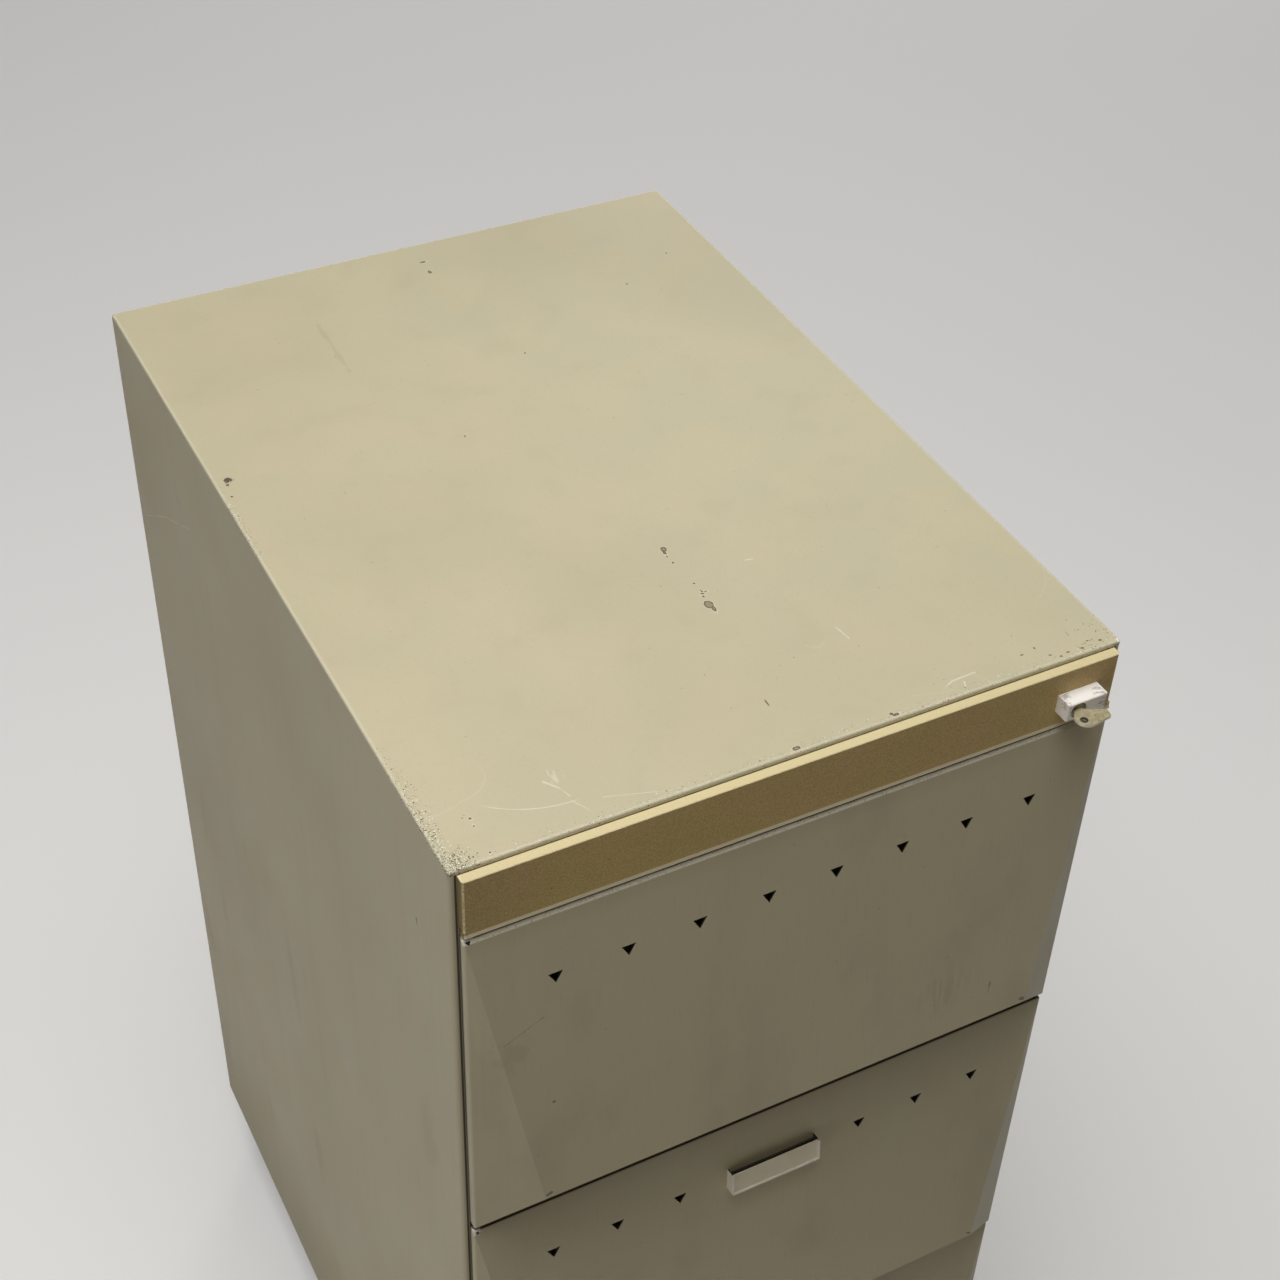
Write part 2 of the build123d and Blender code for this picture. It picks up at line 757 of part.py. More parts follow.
make_top_panel()
make_side_panel("side_panel_left", -1)
make_side_panel("side_panel_right", 1)
make_back_panel()
make_floor_panel()
make_plinth()
make_feet()
make_front_rail("rail_top", case_height - top_rail_drop, top_rail_height)
for upper in range(1, drawer_count):
    gap_centre = front_bottom(upper) - (drawer_pitch - front_height) / 2
    make_front_rail("rail_%d_%d" % (upper, upper + 1), gap_centre, rail_height)
make_uprights()
make_fascia_bar()
make_lock_housing()
make_lock_cylinder()
make_key()
make_lock_rod()
make_rod_guides()
for drawer in range(1, drawer_count + 1):
    make_drawer_front(drawer)
    make_inner_front(drawer)
    make_tray(drawer)
    make_file_rails(drawer)
    make_runners(drawer)
make_label_holder(holder_drawer)
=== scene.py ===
# %% [markdown]
# # A used steel filing cabinet
# The cabinet is folded sheet steel under warm grey stove enamel, with an olive moulded bar and a
# small white lock across the top of its front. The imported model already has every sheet, runner
# and roller in its place, so this lesson gives each of them its finish, adds the small pieces that
# a fitter would add last, and sets the light and the camera.

import json
import math

import bmesh
import bpy
from mathutils import Matrix, Vector


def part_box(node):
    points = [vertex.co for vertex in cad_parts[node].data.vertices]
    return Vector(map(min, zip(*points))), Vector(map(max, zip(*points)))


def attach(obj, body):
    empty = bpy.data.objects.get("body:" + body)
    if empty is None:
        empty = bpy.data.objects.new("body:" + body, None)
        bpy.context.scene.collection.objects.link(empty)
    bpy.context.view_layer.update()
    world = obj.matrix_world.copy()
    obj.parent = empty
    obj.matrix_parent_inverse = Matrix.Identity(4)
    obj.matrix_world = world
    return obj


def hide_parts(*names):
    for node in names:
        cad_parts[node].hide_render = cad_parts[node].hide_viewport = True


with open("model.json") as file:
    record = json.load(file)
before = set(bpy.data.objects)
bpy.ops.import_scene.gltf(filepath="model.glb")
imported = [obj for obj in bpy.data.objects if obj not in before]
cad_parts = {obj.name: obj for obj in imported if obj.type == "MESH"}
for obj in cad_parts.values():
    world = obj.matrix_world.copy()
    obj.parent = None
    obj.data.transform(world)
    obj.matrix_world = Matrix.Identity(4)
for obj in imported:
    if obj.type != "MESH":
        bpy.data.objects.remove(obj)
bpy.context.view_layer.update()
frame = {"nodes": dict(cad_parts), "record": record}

# %% [markdown]
# ## Where things are
# Everything is placed from the boxes of the CAD nodes, in metres. The front face of the top panel
# is the plane that the stiles share, and marks are measured back from it and from the middle.

# %% Key places
top_low, top_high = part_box("top_panel")
bar_low, bar_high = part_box("fascia_bar")
front_y = top_low.y
back_y = top_high.y
top_z = top_high.z
half_width = top_high.x
drawers = (1, 2, 3)
drawer_boxes = {number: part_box("drawer_%d_front" % number) for number in drawers}
front_top_reach = 0.007
lip_rise = 0.0382
first_low, first_high = drawer_boxes[1]
lean_depth = front_y - front_top_reach - first_low.y
lean = lean_depth / (first_high.z - first_low.z - lip_rise)
face_out = Vector((0, -1, lean)).normalized()
print("front at y =", round(front_y, 4), " top at z =", round(top_z, 4))
print("the drawer fronts lean by", round(lean, 4), "metre to the metre")


def on_top(x, behind):
    return Vector((x, front_y + behind, top_z))


def on_side(behind, z):
    return Vector((-half_width, front_y + behind, z))


def on_front(number, x, z):
    """A point of a drawer's leaning face."""
    return Vector((x, front_y - front_top_reach - (drawer_boxes[number][1].z - z) * lean, z))


# %% [markdown]
# ## Shader maths as Python
# A finish is a tree of small nodes. Wrapping a socket in a class with +, - and * lets a mask be
# written as a sum, as on paper. Every other node comes from one method, which sets the node's own
# settings first and then its sockets.


# %% The signal and the finish
class Signal:
    """One socket's value, for use in sums such as 1 - mask * 0.5."""

    def __init__(self, finish, socket):
        self.finish = finish
        self.socket = socket

    def maths(self, operation, *values):
        return self.finish.add("ShaderNodeMath", {"operation": operation}, dict(enumerate(values)))

    def __add__(self, other):
        return self.maths("ADD", self, other)

    def __sub__(self, other):
        return self.maths("SUBTRACT", self, other)

    def __rsub__(self, other):
        return self.maths("SUBTRACT", other, self)

    def __mul__(self, other):
        return self.maths("MULTIPLY", self, other)

    __radd__ = __add__
    __rmul__ = __mul__

    def size(self):
        return self.maths("ABSOLUTE", self)

    def lower(self, other):
        return self.maths("MINIMUM", self, other)

    def higher(self, other):
        return self.maths("MAXIMUM", self, other)


class Finish:
    """A material that grows by one node at a time."""

    def __init__(self, name):
        self.material = bpy.data.materials.new(name)
        self.material.use_nodes = True
        self.tree = self.material.node_tree
        self.shader = self.tree.nodes["Principled BSDF"]
        self.place = self.add("ShaderNodeTexCoord", output="Object")
        axes = self.add("ShaderNodeSeparateXYZ", None, {0: self.place})
        self.x, self.y, self.z = (Signal(self, axis) for axis in axes.socket.node.outputs)

    def add(self, kind, settings=None, inputs=None, output=0):
        node = self.tree.nodes.new(kind)
        for name, value in (settings or {}).items():
            setattr(node, name, value)
        for name, value in (inputs or {}).items():
            if isinstance(value, Signal):
                self.tree.links.new(value.socket, node.inputs[name])
            else:
                node.inputs[name].default_value = value
        return Signal(self, node.outputs[output])

    def noise(self, scale, detail=2, stretch=(1, 1, 1), shift=(0, 0, 0)):
        """Cloudy noise about 0.5, with scale lumps to the metre."""
        inputs = {"Vector": self.place, "Location": shift, "Scale": stretch}
        spot = self.add("ShaderNodeMapping", None, inputs)
        return self.add("ShaderNodeTexNoise", None, {"Vector": spot, "Scale": scale, "Detail": detail})

    def step(self, value, low, high):
        """0 up to low, 1 from high on, and a smooth ramp between. low may be the greater."""
        inputs = {"Value": value, "From Min": min(low, high), "From Max": max(low, high)}
        ramp = self.add("ShaderNodeMapRange", {"interpolation_type": "SMOOTHSTEP"}, inputs)
        return 1 - ramp if low > high else ramp

    def blend(self, mask, first, second):
        """The first colour where the mask is 0, and the second where it is 1.

        A Mix node holds one set of sockets for each kind of data. Its colours are 6 and 7, and 2 is
        their result.
        """
        return self.add("ShaderNodeMix", {"data_type": "RGBA"}, {0: mask, 6: first, 7: second}, output=2)

    def vectors(self, operation, *values, output="Vector"):
        return self.add("ShaderNodeVectorMath", {"operation": operation}, dict(enumerate(values)), output)

    def distance(self, centre):
        return self.vectors("DISTANCE", self.place, centre, output="Value")

    def depth(self, point, outward):
        """How far the surface lies behind the plane through a point."""
        offset = self.vectors("SUBTRACT", point, self.place)
        return self.vectors("DOT_PRODUCT", offset, outward, output="Value")

    def patch(self, centre, radius, ragged=None, soft=0.2):
        """1 inside a round patch. A ragged signal about 0.5 eats into its rim."""
        distance = self.distance(centre)
        if ragged:
            distance = distance + (ragged - 0.5) * (2.4 * radius)
        return self.step(distance, radius, radius * (1 - soft))

    def chip(self, centre, half):
        """The distance from the rim of an oval in the plane of the top, less than 0 inside."""
        offset = self.vectors("SUBTRACT", self.place, centre)
        scaled = self.vectors("MULTIPLY", offset, (1 / half[0], 1 / half[1], 100))
        return (self.vectors("LENGTH", scaled, output="Value") - 1) * min(half)

    def pits(self, scale, density, shift=(0, 0, 0), size=0.36):
        """Small dots, in the share of the cells that the density signal gives."""
        spot = self.add("ShaderNodeMapping", None, {"Vector": self.place, "Location": shift})
        cells = self.add("ShaderNodeTexVoronoi", None, {"Vector": spot, "Scale": scale})
        outputs = cells.socket.node.outputs
        chance = self.add("ShaderNodeSeparateColor", None, {0: Signal(self, outputs["Color"])})
        dot = self.step(Signal(self, outputs["Distance"]), size * 1.2, size * 0.8)
        return dot * self.step(density - chance, 0, 0.02)

    def arc(self, centre, middle, reach, width, ragged):
        """1 along a thin arc round a centre, as far as reach from its middle."""
        radius = (middle - centre).length
        gap = (self.distance(centre) - radius).size() + (ragged - 0.5) * (2 * width)
        return self.step(gap, width, width * 0.3) * self.step(self.distance(middle), reach, reach * 0.6)

    def line(self, start, end, width, ragged):
        """1 along a straight scratch, which the ragged signal breaks up."""
        along = end - start
        from_start = self.vectors("SUBTRACT", self.place, start)
        share = self.vectors("DOT_PRODUCT", from_start, along / along.length_squared, output="Value")
        share = share.higher(0).lower(1)
        foot = self.add("ShaderNodeVectorMath", {"operation": "SCALE"}, {0: along, "Scale": share})
        gap = self.vectors("DISTANCE", from_start, foot, output="Value")
        return self.step(gap + (ragged - 0.5) * (3 * width), width, width * 0.3)

    def finish(self, colour, roughness, height=None, depth=0.001, metallic=0):
        """Links the layers to the shader. The height signal moves the surface by up to depth metres."""
        self.link("Base Color", colour)
        self.link("Roughness", roughness)
        self.link("Metallic", metallic)
        if height:
            inputs = {"Height": height, "Strength": 1, "Distance": depth}
            self.link("Normal", self.add("ShaderNodeBump", None, inputs))
        return self.material

    def link(self, name, value):
        if isinstance(value, Signal):
            self.tree.links.new(value.socket, self.shader.inputs[name])
        else:
            self.shader.inputs[name].default_value = value


def paint(red, green, blue):
    """A screen colour from 0 to 255, turned into linear light."""
    linear = [(value / 255 + 0.055) ** 2.4 / 1.055 ** 2.4 for value in (red, green, blue)]
    return (*linear, 1)


print("a mid grey in linear light:", round(paint(128, 128, 128)[0], 3))

# %% [markdown]
# ## The stove enamel
# Old office enamel is never one colour. It is thicker in some places, faintly yellowed in others,
# and stippled by the spray gun. The ground coat below lays broad clouds, faint upright streaks and
# a fine stipple, and each part then adds its own chips, scratches and dirt over it. Some parts
# also add painted highlights and painted shade.

# %% Colours of the enamel and of what shows under it
enamel_warm = paint(198, 188, 156)
enamel_cool = paint(195, 187, 155)
enamel_pale = paint(226, 219, 196)
enamel_dull = paint(160, 150, 122)
bare_metal = paint(148, 136, 106)
chip_rim = paint(104, 93, 66)
rust_brown = paint(128, 98, 68)
# grime_and_shade is the colour of real dirt, and also of painted shade under the bar and along the top's
# dent
grime_and_shade = paint(92, 80, 58)
# deep_dirt_and_shade is the colour of dark nicks and chips, and also of painted shade in the gaps round the
# drawers and in the key's hole
deep_dirt_and_shade = paint(40, 33, 24)
# fresh_white_and_glint is bare white flecks on the top, and also a painted glint at each drawer's top
# corner
fresh_white_and_glint = paint(250, 245, 233)
coat_depth = 0.0003
print("the warm enamel in linear light:", [round(value, 3) for value in enamel_warm[:3]])


# %% The ground coat
def ground_coat(finish, warm=enamel_warm, cool=enamel_cool):
    """Clouds, streaks, specks and stipple. Returns the colour, the roughness and the height."""
    clouds = finish.noise(16, detail=2)
    shade = finish.noise(3.5, detail=2, shift=(1, 1, 1))
    streaks = finish.noise(26, detail=3, stretch=(1, 1, 0.08))
    threads = finish.noise(420, detail=1, stretch=(1, 1, 0.02))
    stipple = finish.noise(900, detail=1)
    specks = finish.pits(260, clouds * 0.05, size=0.14)
    colour = finish.blend(finish.step(clouds, 0.36, 0.64), cool, warm)
    colour = finish.blend(finish.step(shade, 0.42, 0.72) * 0.20, colour, enamel_dull)
    colour = finish.blend(finish.step(streaks, 0.5, 0.8) * 0.12, colour, enamel_dull)
    colour = finish.blend(finish.step(threads, 0.55, 0.8) * 0.10, colour, enamel_dull)
    colour = finish.blend(finish.step(stipple, 0.5, 0.85) * 0.14, colour, enamel_dull)
    colour = finish.blend(specks * 0.45, colour, grime_and_shade)
    roughness = 0.38 + clouds * 0.16 + stipple * 0.08
    height = stipple * 0.08 + clouds * 0.5
    return colour, roughness, height


def lay(finish, layers, mask, colour, roughness=None, raise_by=0):
    """Lays one more colour over the layers where the mask is 1."""
    base, rough, height = layers
    base = finish.blend(mask, base, colour)
    if roughness is not None:
        rough = rough * (1 - mask) + mask * roughness
    if raise_by:
        height = height + mask * raise_by
    return base, rough, height


def joined(masks):
    """The union of several masks, each made only when it is its turn, which keeps a big shader small."""
    masks = iter(masks)
    total = next(masks)
    for mask in masks:
        total = total.higher(mask)
    return total


def nearest(distances):
    """The least of several distances, taken one at a time as above."""
    distances = iter(distances)
    least = next(distances)
    for distance in distances:
        least = least.lower(distance)
    return least


# %% [markdown]
# ## The top panel
# The top has had the hardest life. Paint is knocked off in a short row near the middle, along the
# left edge and at the front corners, and pale scratches cross the front. Each chip shows dull
# metal inside a darker broken rim.

# %% Wear on the top, as metres from the middle and back from the front edge, then half sizes
top_chips = [
    (0.0116, 0.1417, 0.0029, 0.0040), (0.0125, 0.1372, 0.0013, 0.0034), (0.0118, 0.2040, 0.0020, 0.0023),
    (0.0107, 0.2008, 0.0009, 0.0026), (0.0102, 0.1961, 0.0006, 0.0009), (0.0109, 0.1891, 0.0008, 0.0010),
    (0.0130, 0.1643, 0.0007, 0.0008), (0.0137, 0.1555, 0.0006, 0.0013), (0.0130, 0.1530, 0.0012, 0.0006),
    (0.0123, 0.1502, 0.0008, 0.0009), (0.0162, 0.1542, 0.0011, 0.0005), (-0.0054, 0.0034, 0.0026, 0.0016),
    (0.0616, 0.0046, 0.0012, 0.0010), (0.0641, 0.0030, 0.0022, 0.0011), (-0.2017, 0.0335, 0.0007, 0.0010),
    (-0.2022, 0.0273, 0.0005, 0.0009), (-0.2024, 0.0046, 0.0005, 0.0006), (0.0100, 0.6029, 0.0026, 0.0009),
    (0.0091, 0.5869, 0.0014, 0.0022),
]
top_dots = [
    (0.1402, 0.5080, 0.0008), (0.1894, 0.5367, 0.0008), (-0.2056, 0.0359, 0.0005), (0.0279, 0.4532, 0.0007),
    (-0.0544, 0.3754, 0.0007), (-0.2198, 0.3956, 0.0030), (-0.2218, 0.3905, 0.0012),
    (-0.2235, 0.3770, 0.0010),
]
rust_marks = [
    (0.1648, 0.0154, 0.0010, 0.0006), (0.1755, 0.0176, 0.0005, 0.0011), (0.1807, 0.0078, 0.0011, 0.0005),
    (0.1864, 0.0040, 0.0009, 0.0006), (0.1926, 0.0053, 0.0013, 0.0006), (0.2029, 0.0047, 0.0012, 0.0007),
    (0.2100, 0.0090, 0.0007, 0.0005), (0.2179, 0.0061, 0.0010, 0.0009), (-0.0012, 0.0456, 0.0005, 0.0026),
]
top_scratches = [
    ((-0.1434, 0.0211), (-0.1376, 0.0103), 0.0004), ((-0.1520, 0.0425), (-0.1456, 0.0336), 0.0010),
    ((-0.1456, 0.0336), (-0.1429, 0.0253), 0.0004), ((-0.1259, 0.0164), (-0.0876, 0.0043), 0.0003),
    ((0.0733, 0.0883), (0.0753, 0.0751), 0.0005), ((0.1025, 0.0100), (0.1115, 0.0138), 0.0007),
    ((0.1115, 0.0138), (0.1290, 0.0146), 0.0006), ((0.1162, 0.0060), (0.1180, 0.0100), 0.0008),
    ((0.0548, 0.1714), (0.0600, 0.1705), 0.0006),
]
long_scratch_centre = on_top(-0.1415, 0.0974)
long_scratch_middle = on_top(-0.1667, 0.0253)


# %% The top's enamel
def make_top_enamel():
    finish = Finish("top_enamel")
    layers = ground_coat(finish)
    ragged = finish.noise(700, detail=2)
    broad = finish.noise(60, detail=2)
    side_edge = half_width - finish.x.size()
    front_edge = finish.y - front_y
    edge = side_edge.lower(front_edge).lower(back_y - finish.y)

    curls = (finish.noise(7, detail=2, shift=(0.4, 0, 0)) - 0.5).size()
    some_places = finish.step(finish.noise(14, shift=(3, 0, 0)), 0.48, 0.62)
    front_third = finish.step(front_edge, 0.24, 0.05) * some_places
    hairlines = finish.step(curls, 0.0022, 0.0006) * front_third
    scratches = joined(finish.line(on_top(*start), on_top(*end), width, broad)
                       for start, end, width in top_scratches)
    scratches = scratches.higher(finish.arc(long_scratch_centre, long_scratch_middle, 0.032, 0.0005, broad))
    rubbed = finish.step(finish.noise(320, detail=2, stretch=(1, 0.3, 1)), 0.50, 0.62)
    scuff = finish.patch(on_top(-0.1465, 0.0440), 0.009, broad, soft=0.9) * rubbed
    dent_and_shade = finish.line(on_top(-0.0962, 0.5517), on_top(-0.0976, 0.4833), 0.0022, broad)
    layers = lay(finish, layers, hairlines * 0.13, enamel_pale)
    layers = lay(finish, layers, scratches * 0.62, enamel_pale, raise_by=-0.2)
    layers = lay(finish, layers, scuff * 0.45, enamel_pale)
    # The height signal sinks the dent, and painted shade darkens it.
    layers = lay(finish, layers, dent_and_shade * 0.10, grime_and_shade, raise_by=-0.6)

    # Paler along every edge of the top: partly rubbed wear, partly a painted highlight on the rounded
    # folds.
    rim_pale = finish.step(edge, 0.0028, 0.0008)
    layers = lay(finish, layers, rim_pale * 0.40, enamel_pale)
    corner = finish.distance(on_top(-half_width, 0))
    left_edge = finish.step(finish.x, -half_width + 0.012, -half_width + 0.002)
    density = finish.step(corner, 0.026, 0.003)
    density = density.higher(left_edge * finish.step(front_edge, 0.13, 0.02) * 0.45)
    far_left = (front_edge - 0.34).size()
    left_rim = finish.step(finish.x, -half_width + 0.007, -half_width + 0.001)
    density = density.higher(left_rim * finish.step(far_left, 0.05, 0.02) * 0.25)
    density = density.higher(finish.step(front_edge, 0.010, 0.002) * 0.07)
    coarse = finish.pits(900, density * 0.45, size=0.40)
    fine = finish.pits(1700, density, shift=(0.5, 0, 0), size=0.36)
    right_corner = finish.step(finish.distance(on_top(half_width, 0)), 0.050, 0.010)
    rusty = finish.pits(800, right_corner * 0.20, shift=(0, 0.7, 0), size=0.34)
    layers = lay(finish, layers, finish.pits(1100, density * 0.7, shift=(0, 0, 1)) * 0.9, fresh_white_and_glint)
    layers = lay(finish, layers, coarse.higher(fine), paint(82, 71, 49), roughness=0.6, raise_by=-0.5)
    knocked = finish.patch(on_top(half_width - 0.0008, 0.0012), 0.0022, ragged)
    layers = lay(finish, layers, knocked, fresh_white_and_glint)

    gap = nearest(finish.chip(on_top(x, behind), half) for x, behind, *half in top_chips)
    gap = gap + (ragged - 0.5) * 0.0016
    layers = lay(finish, layers, finish.step(gap, 0.0007, 0.0003) * 0.45, enamel_pale)
    layers = lay(finish, layers, finish.step(gap, 0.0002, -0.0001), chip_rim, roughness=0.6, raise_by=-0.5)
    layers = lay(finish, layers, finish.step(gap, -0.0005, -0.0009), bare_metal)
    rust_gap = nearest(finish.chip(on_top(x, behind), half) for x, behind, *half in rust_marks)
    rust = finish.step(rust_gap + (ragged - 0.5) * 0.0008, 0.0002, -0.0001)
    layers = lay(finish, layers, rust.higher(rusty), rust_brown, roughness=0.7, raise_by=-0.3)
    dots = joined(finish.patch(on_top(x, behind), radius, ragged) for x, behind, radius in top_dots)
    layers = lay(finish, layers, dots * 0.9, paint(66, 56, 38), roughness=0.6, raise_by=-0.4)
    colour, roughness, height = layers
    return finish.finish(colour, roughness, height, depth=coat_depth)


top_enamel = make_top_enamel()
print("top chips:", len(top_chips), "dots:", len(top_dots), "scratches:", len(top_scratches))


# %% [markdown]
# ## The case and the drawer fronts
# The sides and the fronts are the same enamel, less worn. Dust and hand grease darken them a
# little in faint upright bands, and the folded edges are paler, partly as rubbed wear and partly as
# a painted highlight. Painted shade darkens the gaps beside and between the drawers, a band at the
# top of each front under the bar or the drawer above, and the walls of the cut-outs. The upper fold
# of the top drawer is round, and its roundness comes from the height signal, because the sheet
# itself is too thin to bevel. Its pale band is a painted highlight.

# %% The case's enamel
side_scratch = [on_side(0.6202, 0.8279), on_side(0.5516, 0.8735), on_side(0.4783, 0.9125)]
side_nick = (on_side(0.0535, 0.9199), on_side(0.0522, 0.9160))
weld_pitch = 0.06
weld_inset = 0.009
weld_radii = (0.003, 0.0015)
stile_lip = 0.0042


def make_case_enamel():
    """Pale folds, partly rubbed and partly a painted highlight, painted shade in the gap along each stile's
    rebate, and a row of spot welds down each edge of the back.
    """
    finish = Finish("case_enamel")
    layers = ground_coat(finish)
    ragged = finish.noise(600, detail=2)
    broad = finish.noise(90, detail=2)
    low_dirt = finish.step(finish.z, 0.30, 0.04)
    scuffs = finish.step(finish.noise(18, detail=4, stretch=(1, 1, 0.35), shift=(2, 1, 0)), 0.62, 0.74)
    fold = finish.step(finish.y, front_y + 0.0026, front_y + 0.0004)
    nicks = finish.pits(120, 0.02 + fold * 0.10, size=0.07)
    stretches = zip(side_scratch, side_scratch[1:])
    scratch = joined(finish.line(start, end, 0.0005, broad) for start, end in stretches)
    # Paler along the front folds: partly rubbed wear, partly a painted highlight.
    layers = lay(finish, layers, fold * 0.25, enamel_pale)
    layers = lay(finish, layers, scuffs * 0.12, grime_and_shade, roughness=0.6)
    layers = lay(finish, layers, low_dirt * ragged * 0.5, grime_and_shade, roughness=0.7)
    layers = lay(finish, layers, nicks * 0.8, chip_rim, raise_by=-0.4)
    layers = lay(finish, layers, scratch * 0.55, enamel_pale)
    layers = lay(finish, layers, finish.line(*side_nick, 0.0010, ragged), deep_dirt_and_shade)
    from_side = half_width - finish.x.size()
    # Painted shade: a thin dark line in the rebate beside each drawer, where the gap lies in shadow.
    rebate_gap_shade = finish.step((from_side - stile_lip).size(), 0.0009, 0.0005)
    rebate_gap_shade = rebate_gap_shade * finish.step(finish.y, front_y + 0.005, front_y + 0.003)
    layers = lay(finish, layers, rebate_gap_shade * 0.9, deep_dirt_and_shade, roughness=0.8)
    on_back = finish.step(finish.y, back_y - 0.0006, back_y - 0.0002)
    across = (finish.x.size() - (half_width - weld_inset)).size()
    share = finish.z * (1 / weld_pitch)
    along = ((share - share.maths("FLOOR", share)) - 0.5).size() * weld_pitch
    squared = across.maths("POWER", across, 2) + along.maths("POWER", along, 2)
    weld = finish.step(squared, *(radius ** 2 for radius in weld_radii))
    layers = lay(finish, layers, weld * on_back * 0.15, enamel_dull, raise_by=-1.5)
    colour, roughness, height = layers
    return finish.finish(colour, roughness, height, depth=coat_depth)


case_enamel = make_case_enamel()
print("welds down each edge of the back:", int(top_z / weld_pitch))

# %% Marks that only the top drawer's face has, as x and z
drawer_smudge = ((0.1150, 0.7600), 0.034)
drawer_tick = ((0.1533, 0.7512), (0.1521, 0.7420))
drawer_stain = ((-0.2000, 0.8560), 0.015)
drawer_scratch = ((-0.2053, 0.8653), (-0.1791, 0.8771))
drawer_dot = (-0.1757, 0.8032)
print("marks on the top drawer: smudge, tick, stain, scratch and dot")

# %% A drawer front's enamel
# How strongly each drawer's top fold is rounded by the height signal and painted with a highlight.
rim_round_and_highlight = {1: 1, 2: 0.15, 3: 0.15}
fold_round = 9
crease_foot = ((0.1842, 0.0410), (0.1815, 0.0425))
cut_row_drop = 0.052


def make_front_enamel(number):
    """Pale folds with a painted highlight along the top fold, painted shade in the gaps and on the walls of
    the cut-outs, and a dark mark at the foot of each crease.
    """
    low, high = drawer_boxes[number]
    finish = Finish("front_enamel_%d" % number)
    layers = ground_coat(finish)
    ragged = finish.noise(600, detail=2, shift=(number, 0, 0))
    broad = finish.noise(110, detail=2, shift=(0, number, 0))
    from_top = high.z - finish.z
    from_side = high.x - finish.x.size()
    from_bottom = finish.z - low.z
    billows = finish.noise(12, detail=4, stretch=(1, 1, 0.6), shift=(number * 3, 0, 0))
    layers = lay(finish, layers, finish.step(billows, 0.52, 0.7) * 0.12, grime_and_shade)
    # Painted shade: a darker band at the top of each front, under the bar or the drawer above.
    under_bar_shade = finish.step(from_top, 0.020, 0.003)
    layers = lay(finish, layers, under_bar_shade * 0.10, grime_and_shade)
    top_fold = finish.step(from_top, 0.0044, 0.0032) * rim_round_and_highlight[number]
    top_round = finish.step(from_top, 0.0046, 0.0002) * rim_round_and_highlight[number]
    speckle = finish.pits(700, top_fold * 0.4, size=0.40)
    # Painted highlight: the rounded top fold is painted pale, as if it caught the light from above.
    layers = lay(finish, layers, top_fold * 0.90, paint(236, 228, 206))
    colour, roughness, height = layers
    layers = (colour, roughness, height - top_round * fold_round)
    # Painted shadow: the top of the rim behind the face is painted nearly black, as the dark gap under the
    # bar or the drawer above.
    behind_rim = finish.step(finish.y, front_y - 0.0069, front_y - 0.0063)
    rim_gap_shadow = finish.step(from_top, 0.0007, 0.0003) * behind_rim
    layers = lay(finish, layers, rim_gap_shadow * 0.95, deep_dirt_and_shade)
    layers = lay(finish, layers, speckle * 0.5, enamel_dull)
    # Paler along the side and bottom folds: partly rubbed wear, partly a painted highlight.
    side_fold = finish.step(from_side.lower(from_bottom), 0.0016, 0.0004)
    layers = lay(finish, layers, side_fold * 0.45, enamel_pale)
    nicks = finish.pits(100, 0.02 + top_fold * 0.06, shift=(0, number, 0), size=0.08)
    layers = lay(finish, layers, nicks * 0.8, chip_rim, raise_by=-0.4)

    # Painted shade: the sides of the front near the stiles are painted dark, as the shadowed gap beside
    # each drawer.
    low_rim = finish.step(finish.y, front_y - 0.0040, front_y - 0.0018)
    side_gap_shade = low_rim * finish.step(from_side, 0.003, 0.001)
    layers = lay(finish, layers, side_gap_shade * 0.85, deep_dirt_and_shade)
    # A painted glint: a small white patch at the top-left corner. The dark chip beside it is real.
    corner = finish.patch(on_front(number, -high.x + 0.0016, high.z - 0.0008), 0.0036, ragged)
    corner_chip = finish.patch(on_front(number, -high.x + 0.0026, high.z - 0.0024), 0.0015, ragged)
    layers = lay(finish, layers, corner, fresh_white_and_glint)
    layers = lay(finish, layers, corner_chip, deep_dirt_and_shade, raise_by=-0.5)
    # A darker, sunk mark at the foot of each crease.
    feet = [[on_front(number, side * x, low.z + rise) for x, rise in crease_foot] for side in (-1, 1)]
    crease_foot_mark = joined([finish.line(*ends, 0.0012, broad) for ends in feet])
    layers = lay(finish, layers, crease_foot_mark * 0.75, grime_and_shade, raise_by=-1.2)

    if number == 1:
        upright = finish.noise(240, detail=2, stretch=(1, 1, 0.12))
        centre, radius = drawer_smudge
        smudge = finish.patch(on_front(1, *centre), radius, soft=0.9)
        layers = lay(finish, layers, smudge * finish.step(upright, 0.42, 0.66) * 0.15, grime_and_shade)
        tick = finish.line(*(on_front(1, *end) for end in drawer_tick), 0.0009, broad)
        centre, radius = drawer_stain
        stain = finish.patch(on_front(1, *centre), radius, broad, soft=0.95)
        layers = lay(finish, layers, stain * 0.16, paint(128, 108, 62))
        scratch = finish.line(*(on_front(1, *end) for end in drawer_scratch), 0.0006, broad)
        dot = finish.patch(on_front(1, *drawer_dot), 0.0011, ragged)
        layers = lay(finish, layers, joined([tick * 0.6, scratch * 0.35, dot * 0.9]), chip_rim)

    # Painted shade: the walls of the cut-outs are painted nearly black.
    inside = finish.step(finish.depth(on_front(number, 0, high.z), face_out), 0.0001, 0.0004)
    near_row = finish.step((from_top - cut_row_drop).size(), 0.012, 0.010)
    cut_wall_shade = inside * near_row * finish.step(from_side, 0.03, 0.04)
    layers = lay(finish, layers, cut_wall_shade * 0.92, paint(34, 29, 21))
    colour, roughness, height = layers
    return finish.finish(colour, roughness, height, depth=coat_depth)


